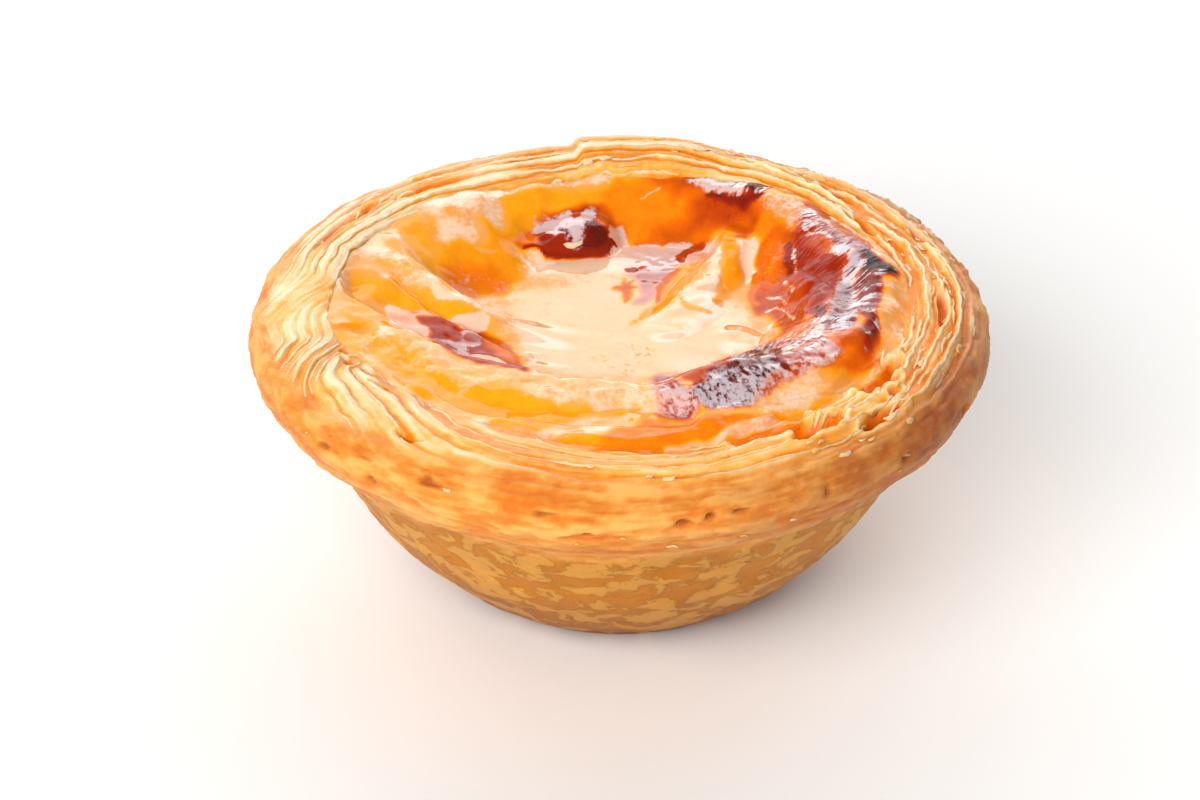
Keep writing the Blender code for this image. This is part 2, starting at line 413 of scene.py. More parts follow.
def makeOvenSpots():
    # uneven baking: a soft mask of patches and a finer one of specks
    group, given, result = newGroup("ovenSpots", {"Size": 6.0, "Speck": 1.2, "Edge": 0.12},
                                    ("Patches", "Specks"))
    place = position(group)
    for label, size, detail in (("Patches", given["Size"], 4.0), ("Specks", given["Speck"], 2.0)):
        noise = addNoise(group, place, sums(group, "DIVIDE", 1 / mm, size), detail, 0.6)
        spread = spreadOut(group, noise, less(group, 0.5, given["Edge"]), add(group, 0.5, given["Edge"]))
        feed(group, result[label], spread)
    return group


def makeThinScraps():
    # ragged scraps of a thin layer, as a mask; Cover is how much of the surface is left bare
    group, given, result = newGroup("thinScraps", {"Size": 6.0, "Cover": 0.5, "Edge": 0.02}, ("Mask",))
    squashed = addNode(group, "ShaderNodeVectorMath", operation="MULTIPLY")
    feed(group, squashed.inputs[0], position(group))
    squashed.inputs[1].default_value = (1.0, 1.0, 1.6)
    scale = sums(group, "DIVIDE", 1 / mm, given["Size"])
    noise = addNoise(group, squashed.outputs[0], scale, 7.0, 0.6, 0.5)
    low, high = less(group, given["Cover"], given["Edge"]), add(group, given["Cover"], given["Edge"])
    feed(group, result["Mask"], spreadOut(group, noise, low, high))
    return group


def makePuckers():
    # wrinkles that run one way across a skin, as a height; both directions come in millimetres
    group, given, result = newGroup("puckers", {"Across": 0.0, "Along": 0.0, "Width": 0.6, "Length": 3.0},
                                    ("Height",))
    total = 0.0
    for share, strength in ((1.0, 1.0), (0.45, 0.4)):
        place = addNode(group, "ShaderNodeCombineXYZ")
        for socket, label, size in ((0, "Across", "Width"), (1, "Along", "Length")):
            scaled = sums(group, "DIVIDE", given[label], times(group, given[size], share))
            feed(group, place.inputs[socket], scaled)
        noise = addNoise(group, place.outputs[0], 1.0, 2.0, distortion=0.6)
        total = add(group, total, times(group, noise, strength))
    feed(group, result["Height"], total)
    return group


def makeDoughGrain():
    # the dry, blistered grain of baked dough, as a height
    group, given, result = newGroup("doughGrain", {"Size": 1.0, "Pits": 0.3}, ("Height",))
    place = position(group)
    scale = sums(group, "DIVIDE", 1 / mm, given["Size"])
    fine = addNoise(group, place, scale, 5.0, 0.65)
    cells = addNode(group, "ShaderNodeTexVoronoi")
    feed(group, cells.inputs["Vector"], place)
    feed(group, cells.inputs["Scale"], times(group, scale, 0.8))
    pits = times(group, less(group, cells.outputs["Distance"], 0.5), given["Pits"])
    feed(group, result["Height"], add(group, fine, pits))
    return group


ovenSpots = makeOvenSpots()
thinScraps = makeThinScraps()
puckers = makePuckers()
doughGrain = makeDoughGrain()
print("shared effects are built")


# custard: its skin, folds and burnt places

custard = {
    # where the custard meets the innermost sheet of pastry: degrees, radius, height
    "edge": (
        (-109, 25.6, 28.6), (-94, 26.6, 28.6), (-78, 27.3, 28.6), (-64, 27.3, 28.7), (-48, 27.3, 28.8),
        (-31, 28.3, 29), (-17, 29, 29.3), (-4, 29.5, 29.6), (9, 29.8, 29.9), (24, 29.4, 30.1),
        (44, 28.9, 30.2), (60, 29, 30.2), (78, 28.4, 30.3), (96, 27.9, 30.2), (113, 28.2, 30.2),
        (130, 29.2, 30.2), (157, 30.2, 30.3), (173, 29.9, 30.1), (187, 29.9, 29.9), (199, 29, 29.6),
        (209, 27.4, 29.3), (228, 25.9, 28.8)),
    "around": 600, "rings": 145,
    "tuck": 0.7,       # how far it runs under the innermost sheet
    "under": ((15.5, 3.6), (26.3, 18.0), (28.7, 26.0)),   # its hidden floor and side: radius, height
    "poolLevel": 25.2,
    "poolCentre": (2.0, 4.0),
    "rounding": 0.45,  # of the slopes at foot and crest; 0 is straight
    "rollLength": 78.0,
    # round the pool: degrees, foot of the slope, crest, crest height
    "slopes": (
        (-115, 12.4, 20.3, 29.4), (-90, 11.9, 19.6, 29.7), (-68, 11.6, 21.3, 30), (-42, 11.6, 22.4, 30.2),
        (-30, 12.2, 21.6, 29.9), (-17, 13, 20.4, 29.8), (-3, 13.4, 20, 29.8), (11, 13.3, 20.6, 30.1),
        (28, 14, 20.8, 30.2), (40, 15.4, 21.6, 30.3), (62, 17.6, 24.4, 30.7), (80, 17.6, 25, 30.4),
        (97, 17.4, 24.6, 30.2), (108, 16, 24, 30), (127, 17, 24.4, 30), (138, 15.3, 26, 30.1),
        (150, 16.6, 28, 30.2), (164, 17.6, 29.4, 30), (177, 15.6, 30.2, 29.9), (190, 15.4, 28.8, 29.6),
        (204, 15, 25.2, 29.3), (217, 14.6, 21.5, 29), (232, 13.2, 20.8, 29.1)),
    # half width of the flat, half width in all, (x, y, height) along each fold of the skin
    "folds": {
        "trough": (1.7, 3.4, (
            (-26, 4.6, 28.7), (-24, 3.2, 27.8), (-20.4, 1, 27.3), (-16.8, -1.2, 26.8), (-13.2, -3.6, 26.2),
            (-9.6, -6, 25.6), (-5, -7, 25.2))),
        "longRidge": (0.3, 2.8, (
            (-26.3, 15, 30.3), (-22.4, 10, 29.7), (-19, 7, 29), (-16, 4.8, 28.1), (-13.4, 3.6, 27),
            (-9.7, 2.7, 25.8), (-5, 1.3, 25.35), (-1, 0.2, 25.25))),
        "frontRidge": (0.4, 3, (
            (-29.4, -2, 30.1), (-26.1, -3.6, 29.8), (-22.6, -5, 29.5), (-19, -7.6, 29.1),
            (-15.4, -9.6, 28.8), (-11.6, -11.4, 28.8), (-7, -13.8, 29.1), (-1, -15.4, 29.5),
            (4.4, -15.8, 29.8))),
        "blob": (1.3, 3.4, ((-8.4, 20.2, 27), (-6.6, 20.9, 27.6), (-4.8, 21.4, 27.9), (-2.8, 21.9, 28))),
        "burntRoll": (0.3, 4, (
            (8.4, 27.6, 30.6), (13.4, 25, 31), (17, 22.4, 31), (20.2, 18.7, 31.1), (22.6, 14.8, 31.3),
            (25.2, 10.4, 31.5), (27.3, 6, 31.8), (27.6, 2.6, 31.5), (25.8, -3.4, 31.1), (22.6, -8.9, 30.9),
            (16.6, -12.2, 31.1), (9.6, -14.9, 31.1), (5.8, -16.6, 30.6), (3.4, -18.2, 29.8))),
        "tongue": (1, 3.5, (
            (12.9, 20.6, 27.5), (11.2, 16.4, 26.9), (9.3, 11.8, 26.5), (7.2, 7, 26), (5.4, 3, 25.5))),
        "frontHollow": (1.1, 2.9, (
            (-23.6, -8.8, 29), (-17.8, -15.6, 28.4), (-9.6, -18.8, 27.9), (-1, -19.2, 28.1),
            (5.6, -20.6, 28.6))),
        "frontRib": (0.2, 1.4, (
            (-20.4, -14.8, 29), (-15, -19.8, 28.8), (-6, -22.4, 28.7), (3, -22.8, 28.8), (8, -22.8, 28.8))),
        "flapEdge": (0.15, 0.9, (
            (5, -24.9, 28.8), (9, -23.9, 29.2), (12.4, -22.2, 29.6), (15, -20.8, 29.9), (18.4, -19.9, 29.9),
            (21.5, -18, 29.8), (24, -15.4, 29.6))),
        "frontEdge": (0.5, 1.8, (
            (-12, -23, 28.2), (-6, -24.8, 28), (2, -25.6, 27.9), (11, -24, 28), (18.4, -19.4, 28.3),
            (23.8, -13.6, 28.5), (27.4, -7, 28.7))),
    },
    # x, y, radius, rise
    "blisters": (
        (-13.4, 14.2, 4, 0.5), (17, -1.4, 2.8, 0.5), (-9.6, -2.6, 1.6, 0.35), (9.4, 0, 8.5, 0.45),
        (12.6, 0.6, 3.4, 0.3), (20.2, 3.4, 1.9, 0.4), (19.2, 7.2, 1.6, 0.3), (27.6, -3.8, 2, 0.5),
        (28, 1.6, 1.6, 0.4), (-24.4, 6.4, 2, 0.3), (-9, 25.2, 2.6, 0.4), (-15, 22.6, 2.4, 0.4)),
    # how the skin has baked, as patches laid one over another: softness of the edge, how far it has baked
    # (0 pale, 0.3 yellow, 0.45 amber, 0.65 red-brown, 0.85 dark, 1 black), how much glaze and painted sheen
    # lie on it, and the outline on plan; the painted sheen is reflected light painted into the colour
    "patches": {
        "pool": (1.5, 0.15, 0.8, (
            (-10, 9), (-6, 13), (0, 15), (8, 13), (13, 8), (13, 0), (8, -5), (0, -6.5), (-6, -5), (-10, -1),
            (-11, 4))),
        "frontMottled": (0.8, 0.3, 0.42, (
            (-29.5, -4.5), (-25, -5.2), (-21, -7.6), (-17, -10.2), (-12, -12.6), (-10, -15), (-16, -15.4),
            (-20, -13.8), (-24, -11.8), (-28.4, -9.2))),
        "westYellow": (0.5, 0.27, 0, (
            (-23.5, 17.8), (-21.5, 19.1), (-20.2, 17.6), (-20, 16.3), (-18.9, 15.6), (-19.1, 12.1),
            (-18, 10.5), (-17.8, 8.1), (-17.4, 6.1), (-18.7, 6.8), (-20.4, 8.8), (-22.2, 10.5), (-24, 12.1),
            (-24.6, 13.4), (-23.3, 14.1), (-23.1, 16))),
        "orangePatch": (0.5, 0.34, 0.1, (
            (-18.7, 15.6), (-17.4, 16.7), (-15.6, 16.5), (-14.3, 17.1), (-14.3, 18.7), (-15.2, 20),
            (-13, 19.6), (-11.6, 20.4), (-10.5, 20), (-10.3, 18.2), (-9.7, 17.4), (-9.9, 15.2), (-11, 13),
            (-11.6, 11.2), (-14.3, 10.3), (-15.6, 9.8), (-17.8, 10.3), (-19, 11.6), (-19, 13.8))),
        "orangePatchLow": (0.7, 0.43, 0.3, (
            (-18.7, 12.7), (-16.9, 13.8), (-15.2, 14.3), (-12.7, 14.3), (-11.9, 12.7), (-12.1, 11.2),
            (-14.7, 10.5), (-15.6, 9.8), (-17.8, 10.5))),
        "backYellow": (0.6, 0.3, 0, (
            (-11.6, 20), (-12.5, 22.2), (-12.3, 23.5), (-9, 25.3), (-5, 26.2), (-1.5, 26.8), (-0.2, 24.4),
            (-3.5, 24.4), (-7.9, 23.3), (-9.9, 21.8))),
        "leftFacet": (0.25, 0.29, 0, (
            (-27.9, 7.3), (-27.3, 7.6), (-26.4, 7.3), (-25.6, 5.6), (-24.3, 4.1), (-24.6, 3.2),
            (-24.1, 1.4), (-23.8, -0.3), (-23.6, -3.4), (-25.4, -3.7), (-27.2, -3.3), (-28.5, -2.1),
            (-28.4, 0.6), (-28, 3.2))),
        "upperFacet": (0.25, 0.29, 0, (
            (-26.4, 7.3), (-24.7, 6.7), (-24.1, 7.5), (-23, 7.6), (-22.6, 6.6), (-20.3, 6.2), (-19, 5.2),
            (-16.8, 4.3), (-15.3, 3.7), (-14.8, 3.2), (-18.4, 3), (-19.7, 3.4), (-22.8, 3.9), (-24.3, 4.7),
            (-25.6, 5.8))),
        "troughPool": (0.2, 0.42, 0.95, (
            (-24.4, 3.9), (-22.8, 3.7), (-19.7, 3.4), (-18.8, 2.8), (-16.6, 3.1), (-13.7, 3.1),
            (-13.8, 1.9), (-15.3, 1.4), (-16.2, 0.6), (-17.5, 2.1), (-20.1, 2.6), (-21, 2.3), (-20, 0.3),
            (-19.7, -1.6), (-17.9, -4.3), (-19.7, -5.1), (-21.7, -4.1), (-23.5, -3.4), (-23.8, -0.3),
            (-24.2, 2.1))),
        "troughRed": (0.2, 0.66, 0, (
            (-21.1, 2.6), (-20, 2.6), (-17.9, 2.5), (-17, 1.7), (-16.4, 0.6), (-15.6, 1), (-14.6, 1.7),
            (-13.1, 1.2), (-11.5, -0.1), (-10.8, -2.3), (-10.1, -5.2), (-10.3, -8.5), (-9.3, -10),
            (-9.2, -12.1), (-10.3, -11.7), (-12.6, -10.4), (-14.8, -9.1), (-17, -7.8), (-18.8, -6.3),
            (-19.5, -5.2), (-17.9, -4.3), (-19.6, -2.3), (-19.8, -0.3), (-20.6, 1.4))),
        "troughTip": (0.4, 0.46, 0, (
            (-14.3, 1.2), (-12.9, 1), (-11.5, -0.3), (-10.9, -2.3), (-10.3, -5.2), (-11.5, -4.7),
            (-12.9, -3.2), (-14, -1.2))),
        "troughGlint": (0.25, 0.66, 0.8, (
            (-16.2, 0.3), (-14.6, 0.1), (-14.4, -1.4), (-15.6, -2.4), (-15.4, -3.6), (-15.7, -5.2),
            (-14.6, -7.8), (-16.8, -7.4), (-17.6, -4.3), (-16.8, -3.2), (-17.9, -2.3), (-19.6, -2),
            (-17.9, -1.3), (-16.6, -1.5))),
        "frontYellow": (0.4, 0.3, 0, (
            (-24.4, -11.2), (-22, -11.2), (-19, -12.2), (-17, -13.4), (-16.2, -15.4), (-14, -14.4),
            (-10.4, -15.8), (-6, -17.4), (-2, -18), (2.6, -17.9), (1, -18.6), (-3, -19), (-5.8, -19.8),
            (-7.2, -21.7), (-9.4, -22.1), (-12, -21.4), (-14.6, -19.8), (-16.2, -17.8), (-19, -16.8),
            (-22.4, -14.8))),
        "frontCream": (0.5, 0.18, 0.5, (
            (-23.5, -3.6), (-22.1, -4.3), (-19.7, -6.9), (-17.7, -8.5), (-14.8, -9.8), (-10.4, -12),
            (-7.8, -12.4), (-4.5, -14), (1, -15), (3, -17.2), (-2, -17.4), (-5.6, -16.8), (-7.8, -15.3),
            (-10.9, -14), (-12.2, -12.7), (-14.8, -11.3), (-18.8, -10), (-20.6, -7.4), (-22.5, -5.2))),
        "frontOrange": (0.7, 0.41, 0, (
            (2.6, -19.6), (6, -20.8), (9, -20.2), (14, -19.8), (18, -18.6), (21.6, -16.6), (20, -19.6),
            (15, -22.2), (10, -24.6), (4, -26.8), (-4, -26.8), (-8, -25.4), (-2, -23.4), (1, -21.4))),
        "gapAmber": (0.25, 0.42, 0, (
            (11, -24.6), (12.4, -22.4), (14.8, -21), (18.6, -20.4), (20.6, -19.4), (22.6, -17.6),
            (24.8, -14.8), (26.8, -11), (29, -9), (29, -14), (22, -24), (12, -27))),
        "frontGold": (0.6, 0.33, 0.1, ((-14, -22.4), (-8, -23.4), (-2, -23.8), (-4, -26.8), (-10, -25.6))),
        "backAmber": (0.4, 0.4, 0, (
            (-2, 23.3), (-1.3, 25.9), (0.2, 27.7), (5, 27.9), (7.2, 27.3), (8.1, 26.6), (9.7, 24.8),
            (11.6, 24), (14.7, 22.9), (15.6, 21.8), (17.4, 18.7), (18.2, 16.9), (17.8, 14.7), (15.2, 14.7),
            (15, 17.8), (14.3, 19), (13, 19.1), (12.1, 20.4), (11.2, 21.8), (10.3, 21.8), (9.7, 20.4),
            (6.8, 21.5), (5.5, 21.1), (3.3, 21.5), (2, 21.1), (1.1, 22.2), (-0.7, 22.2))),
        "backAmberTop": (0.9, 0.39, 0, (
            (-1.6, 26.4), (1, 27.6), (5, 27.4), (8, 26.2), (6, 25.2), (2, 24.6), (-1.2, 24.6))),
        "backRed": (0.7, 0.56, 0, ((3.8, 28), (8.2, 27.6), (8.8, 25.9), (7, 25.8), (5.4, 26.8))),
        "backAmberFoot": (1, 0.57, 0, (
            (4.6, 23), (7.2, 23.6), (9.4, 24.2), (11.6, 23.9), (13.4, 23.2), (14.9, 22.6), (14.3, 21.3),
            (12.1, 21.5), (10.3, 22.2), (7.5, 21.8), (5.3, 21.5))),
        "crestFoot": (0.8, 0.62, 0, (
            (7.6, 24.9), (10, 24.6), (12, 24), (15.2, 23.1), (15.4, 21.2), (14.4, 21), (13.2, 21.8),
            (11.2, 22.4), (9, 23))),
        "backDrip": (0.4, 0.5, 0, (
            (12.4, 22.4), (14.4, 22.2), (14.4, 19.4), (13.4, 18.9), (12.6, 19.6), (12.8, 21))),
        "poolBack": (0.3, 0.14, 0.9, (
            (12.8, 18.6), (13.6, 18.7), (14.6, 18.6), (15, 16.8), (14.9, 14), (13.6, 13), (13, 15))),
        "poolBackLeft": (0.3, 0.16, 0.85, (
            (9.8, 20.2), (11, 20.6), (11.2, 18), (10.8, 15), (10.4, 12), (9.4, 11.8), (9.7, 16))),
        "poolPink": (0.4, 0.6, 0.9, (
            (-4.4, 18), (-3.2, 18.5), (-1.4, 18.8), (-0.4, 19.8), (0.6, 20.8), (1.4, 21.4), (2.4, 21.9),
            (3.6, 22.1), (4.4, 21.6), (4.9, 20.6), (5.4, 21.5), (7.2, 21.7), (8.2, 21.2), (8.4, 20.2),
            (8.9, 21), (9.9, 21), (10.2, 19.8), (9, 18.4), (7.6, 17.6), (6.4, 16.8), (5.4, 15), (4.7, 13.4),
            (4.2, 11.6), (3.8, 10), (2.8, 8.6), (1.4, 8.8), (2, 10.4), (2.4, 12.6), (1.6, 14), (0.2, 14.8),
            (-1.4, 15.8), (-3, 16.8))),
        "poolPinkDeep": (0.9, 0.66, 0.85, (
            (-1.5, 18), (1, 18.6), (4, 19.4), (6.6, 19.4), (7, 17.6), (6, 16), (4.8, 13.6), (3.2, 12.4),
            (2.2, 14), (0.6, 15.4), (-1, 16.4))),
        # pale cream under the blob, where the slope behind hides the lamp: painted sheen
        "sheenBelowBlob": (2.2, 0.16, 0.8, (
            (-9.4, 17.8), (-6, 18), (-1, 18.4), (0.4, 17.4), (0, 14.8), (-3.6, 14.2), (-7.4, 14.6),
            (-9.6, 15.6))),
        "poolDrip": (0.25, 0.5, 0, (
            (-0.2, 12.6), (0.4, 12.8), (0.6, 14.2), (1, 13.4), (1.6, 13.9), (1.7, 12.6), (2.4, 12.2),
            (1.6, 11.6), (1.3, 10.2), (0.7, 8.9), (0.4, 9.8), (0.3, 11.2), (-0.6, 12))),
        "blob": (0.35, 0.62, 0, (
            (-10.8, 19), (-10, 20.4), (-9.2, 21.6), (-8.4, 22.6), (-6.6, 23.6), (-5, 24.2), (-3.4, 24.8),
            (-1.6, 24.9), (-0.8, 24), (-0.7, 22.6), (-0.3, 21.6), (-0.8, 20.4), (-2, 19.4), (-3.6, 18.9),
            (-5.6, 18.4), (-7.6, 18.2), (-9.4, 18.4))),
        "blobUnder": (0.35, 0.72, 0.05, (
            (-8.8, 20.4), (-7.6, 20.8), (-6.6, 20.2), (-4, 19.6), (-1.4, 20), (-2.2, 19.4), (-4, 18.9),
            (-6.4, 18.6), (-8.2, 19))),
        "blobLeft": (0.3, 0.46, 0.2, (
            (-10.6, 18.9), (-10.5, 20.8), (-9.6, 21.6), (-8.9, 20.4), (-9, 18.6))),
        "blobTop": (0.25, 0.7, 0.9, (
            (-9.3, 21.4), (-8.6, 22.4), (-7, 23.2), (-5.4, 23.9), (-5, 22.9), (-4.6, 22), (-4, 23.4),
            (-3.2, 24.6), (-2.2, 24.6), (-2, 23.2), (-2.4, 22.2), (-3, 21.2), (-3.2, 20), (-4.2, 19.2),
            (-5.6, 19.4), (-6.6, 20), (-7.6, 20.6), (-8.6, 20.9))),
        "blobDark": (0.4, 0.82, 0.12, (
            (-3.4, 21), (-2.8, 22.2), (-2, 21.8), (-1.2, 21.2), (-0.6, 20.4), (-0.8, 19.6), (-1.8, 19),
            (-3.2, 18.9), (-4, 19.2))),
        "blobRed": (0.2, 0.54, 0, (
            (-2.4, 22.6), (-2.2, 24.4), (-1.6, 24.8), (-0.8, 24.2), (-0.7, 22.6), (-0.9, 21.4),
            (-1.6, 21.2), (-2.1, 21.8))),
        "blobRight": (0.2, 0.56, 0.95, (
            (-0.6, 23), (-0.1, 23.7), (0.6, 23.4), (0.9, 22), (0.6, 21), (-0.1, 20.2), (-0.9, 20),
            (-0.8, 21.2), (-0.7, 22.2))),
        "tongueSide": (0.4, 0.34, 0.3, (
            (7.4, 17.6), (5.9, 15.6), (5, 13.6), (4.5, 12), (4.2, 10.2), (3.4, 8.4), (1.8, 6), (0.8, 4.2),
            (2.6, 5.2), (4.6, 6.8), (6.2, 8.6), (6, 10.4), (6.6, 13), (8, 16.4))),
        "tongueTop": (0.7, 0.26, 0.4, (
            (7, 17.2), (9.4, 19.4), (9.9, 18.4), (9.7, 15.4), (9.2, 12.8), (7.8, 11), (6.8, 9.2),
            (5.8, 9.4), (5.8, 11.4), (6.2, 14.6))),
        "leaf": (0.3, 0.31, 0, (
            (11, 20.4), (12.1, 20), (12.5, 17.8), (12.6, 15.6), (13.1, 14.3), (12.5, 12.3), (11.6, 9.9),
            (10.5, 8.2), (10, 8.8), (10.8, 10.5), (11.2, 13.8), (11, 16))),
        "redSlope": (0.4, 0.6, 0, (
            (14.9, 16.3), (16.4, 17.6), (17.8, 17.2), (18.8, 16.3), (19.9, 17.6), (21.4, 17.1),
            (22.5, 15.5), (23, 14), (22, 13.4), (22.5, 11.9), (22.5, 10.1), (24, 9), (23.5, 7.2), (23, 5.6),
            (22.5, 3.8), (21.4, 2), (20.4, 0.4), (19.4, 0.2), (18.8, -1.4), (17.8, -2.4), (16.8, -1.6),
            (17, 0.4), (16.5, 3), (15.5, 6.2), (14.2, 6.6), (14, 9.8), (14.8, 12.4))),
        "redSlopeDeep": (0.9, 0.71, 0, (
            (19, 15.4), (20.4, 12), (22.4, 10), (23.8, 8.6), (23.4, 6.4), (22.4, 3.6), (21.2, 1.4),
            (20.2, 1), (20, 4), (19.4, 8), (18.6, 12))),
        "slopeNotch": (0.4, 0.82, 0.1, (
            (20.2, 1.6), (21.4, 1.2), (21.6, -0.8), (20.8, -1.6), (20.2, -0.4))),
        "slopeOrange": (0.9, 0.44, 0, ((15, 16.6), (17.4, 17.2), (17.6, 13.6), (16.6, 10.8), (15.2, 12.4))),
        "slopePeach": (0.4, 0.4, 0.5, (
            (15, 23.3), (16.4, 22.8), (19.6, 21), (20.6, 20), (20, 17.8), (18.4, 16.6), (17.6, 18),
            (16.2, 20), (15.2, 21.8))),
        "slopePink": (0.4, 0.68, 0.45, (
            (19.1, 17.4), (20.2, 19.8), (21.4, 19.6), (22.6, 17.2), (23.2, 14.6), (22, 13.6), (21, 14.4),
            (20, 14.2), (19.8, 15.6))),
        "slopeMauve": (0.4, 0.76, 0.6, (
            (22, 13.4), (23.2, 14.4), (24.6, 12.6), (26, 10.4), (25.2, 9.4), (24.2, 9.2), (22.6, 10),
            (22.6, 11.9))),
        "crestTop": (0.3, 0.66, 0.84, (
            (7.4, 27.3), (8.8, 25.6), (9.4, 25), (11, 24.4), (13, 23.7), (15.2, 23.1), (16.2, 24.2),
            (15.2, 25.4), (12.8, 26.4), (10, 27))),
        "crestDark": (0.3, 0.9, 0.15, ((13.8, 24.2), (15.2, 23.2), (16.6, 24.4), (15.2, 25.8), (14, 25.6))),
        "crestBack": (0.4, 0.78, 0.35, (
            (9, 28.6), (13.4, 27.6), (17, 25.5), (15.6, 24.4), (13.4, 25.5), (10.3, 26.8), (8.6, 27.5))),
        "rollBlack": (0.3, 0.97, 0.08, (
            (25.6, 9.8), (26.7, 9.4), (27.5, 7.2), (28.2, 6), (29.2, 5), (28.8, 4), (27.4, 4), (26.4, 4.4),
            (25.2, 5.2), (25.6, 7.2))),
        "rollMauve": (0.35, 0.8, 0.8, (
            (24.6, 9.4), (25.9, 8.8), (25.6, 7.2), (24.7, 5.6), (24.8, 3.3), (24.8, -0.6), (24.5, -3.2),
            (24.3, -5.5), (23.5, -6.8), (22.5, -6.3), (21.2, -4.8), (20.4, -3.2), (19.6, -0.8),
            (20.9, -1.6), (21.8, -0.6), (21.8, 1.2), (22.5, 3.3), (23, 5.1), (23.8, 7.2))),
        "rollOuter": (0.3, 0.78, 0.35, (
            (24.8, 5.4), (26.4, 4.6), (27.6, 4.4), (27.4, 2), (27, -1), (26.6, -3.9), (27, -5.9),
            (26.4, -7.2), (25, -8.9), (24.2, -7.4), (25.3, -5), (24.6, -3.5), (24.7, -0.6), (24.8, 2.7))),
        "rollPeach": (0.5, 0.5, 0.42, (
            (15, -1), (16.6, -1.4), (17.8, -2.2), (19.2, -0.2), (20.2, -2), (20.6, -4), (20, -5.4),
            (17.8, -3.5), (16.3, -1.9))),
        "rollEndSoft": (1.2, 0.36, 0.7, (
            (2.4, -6.6), (4.4, -6.4), (4.4, -13), (4.4, -17.2), (5.2, -19.4), (3.6, -18.8), (2.6, -16),
            (2.2, -11))),
        "rollPink": (0.4, 0.66, 0.6, (
            (16.3, -2.8), (17.8, -3.5), (19.1, -4.6), (20, -3.2), (21.1, -5), (21.8, -8.1), (22.4, -9.2),
            (22.9, -9.8), (22.2, -11.6), (20, -12.3), (19.1, -12.9), (17.4, -13.8), (16.5, -12.9),
            (16.3, -9.4))),
        "rollRed": (0.5, 0.58, 0.1, (
            (21.8, -6.3), (23.3, -7.2), (24.6, -6.5), (25.1, -8.3), (26.2, -8.7), (24.4, -9.8),
            (22.4, -9.2))),
        "rollAmber": (0.4, 0.46, 0, (
            (23.3, -9.6), (25.5, -9), (26.8, -8.3), (27.2, -9.2), (25.1, -10.9), (22.9, -12.5),
            (21.8, -13.1), (22.6, -10.7))),
        "rollEdge": (0.3, 0.62, 0.5, (
            (19.1, -12.3), (21.8, -12), (21.3, -12.9), (19.1, -14), (16.9, -15.5), (15.4, -17.1),
            (14.3, -18), (13.2, -19.1), (10.3, -19.5), (8.6, -19.4), (8.6, -17), (13, -16.6), (16.2, -14))),
        "rollEnd": (0.4, 0.66, 0.6, (
            (3.6, -6.4), (5, -5.9), (6.2, -5.8), (6.3, -7.2), (6, -11.6), (5.6, -13.6), (5.4, -15.4),
            (6.2, -16.8), (7.6, -18.3), (7.9, -19.2), (7, -20.6), (5.9, -20.4), (4.4, -19.3), (3.6, -17.3),
            (3.4, -13.8), (3.4, -9.4))),
        "rollBrown": (0.35, 0.82, 0.05, (
            (6.3, -6.2), (7.6, -5.6), (9.2, -4.9), (9.5, -7.2), (9.3, -10.7), (8.6, -12.6), (7.4, -12.9),
            (6.4, -13.2), (6.5, -9.4))),
        "rollBurnt": (0.25, 0.84, 0.6, (
            (9, -4.9), (10.3, -3.7), (12.1, -2.5), (13.8, -1.5), (14.7, -0.8), (15.6, -1.7), (16.3, -3.2),
            (16.3, -7.2), (16, -11.6), (16.7, -13.8), (15.6, -14.5), (14.3, -16.2), (13.2, -17.7),
            (13, -18.6), (10.8, -19.1), (8.4, -19.1), (7.2, -18.4), (7.4, -17), (8.4, -15.2),
            (9.1, -11.6))),
        "rollTan": (0.35, 0.6, 0.12, (
            (6, -13.2), (7.2, -12.7), (9.2, -12.6), (11.4, -12.5), (11.2, -13.6), (9.4, -14.2),
            (8.6, -15.2), (8.4, -16.6), (6.8, -16.4), (5.8, -15.4), (5.4, -14.2))),
    },
    # narrower marks on the skin: half width, softness, how far baked, how much glaze and painted sheen, and
    # the line; the glints among them are painted highlights
    "strokes": {
        "amberGlint": (0.02, 0.25, 0.36, 0.62, ((2.2, 25.9), (3.2, 26.2), (4.6, 26.8))),
        "slopeRim": (0.3, 0.6, 0.6, 0.2, (
            (20.6, 20.6), (21.8, 19.6), (23.2, 16.8), (24.6, 13.6), (26.4, 10))),
        "poolRedDrip": (0.3, 0.4, 0.62, 0, ((8.8, 21), (7.6, 20.2), (6.8, 18.9), (6.7, 18.2))),
        "blobCrease": (0.1, 0.3, 0.8, 0.4, ((-6.3, 20.9), (-5.9, 20.4), (-5.2, 19.6))),
        "blobFoot": (0.1, 0.3, 0.74, 0, (
            (-10, 18.5), (-8, 18.3), (-5.6, 18.5), (-3.4, 19), (-1.6, 19.6), (-0.4, 20.6))),
        "slopeGlintA": (0.05, 0.3, 0.56, 0.62, ((18.3, 15), (18.6, 13), (18.7, 10.4))),
        "slopeDarkA": (0.2, 0.4, 0.74, 0, ((18, 14.6), (18.2, 12.6), (18.1, 10.6))),
        "slopeGlintB": (0.05, 0.3, 0.55, 0.62, ((15.8, 9.4), (17, 8), (17.6, 6.2))),
        "slopeGlintC": (0.05, 0.3, 0.55, 0.62, ((17.4, 10), (18.2, 8.8), (18.4, 7.4))),
        "slopeGlintD": (0.05, 0.3, 0.55, 0.62, ((15.4, 6.8), (16.8, 6.4), (17.9, 4.4), (18.4, 2))),
        "slopeGlintE": (0.05, 0.3, 0.55, 0.62, ((20.4, 14.6), (21.4, 14.2), (22.2, 13.4))),
        "slopeGlintF": (0.05, 0.3, 0.55, 0.62, ((21, 17.4), (22.2, 16.4), (22.8, 15))),
        "rightLine": (0.2, 0.35, 0.45, 0.1, ((14.3, 14.3), (14.4, 12.7), (14.1, 9.9), (14.6, 8.6))),
        "curl": (0.2, 0.5, 0.28, 0.4, ((6.6, 8.4), (7.4, 6.8), (8.6, 6), (9.4, 5.9))),
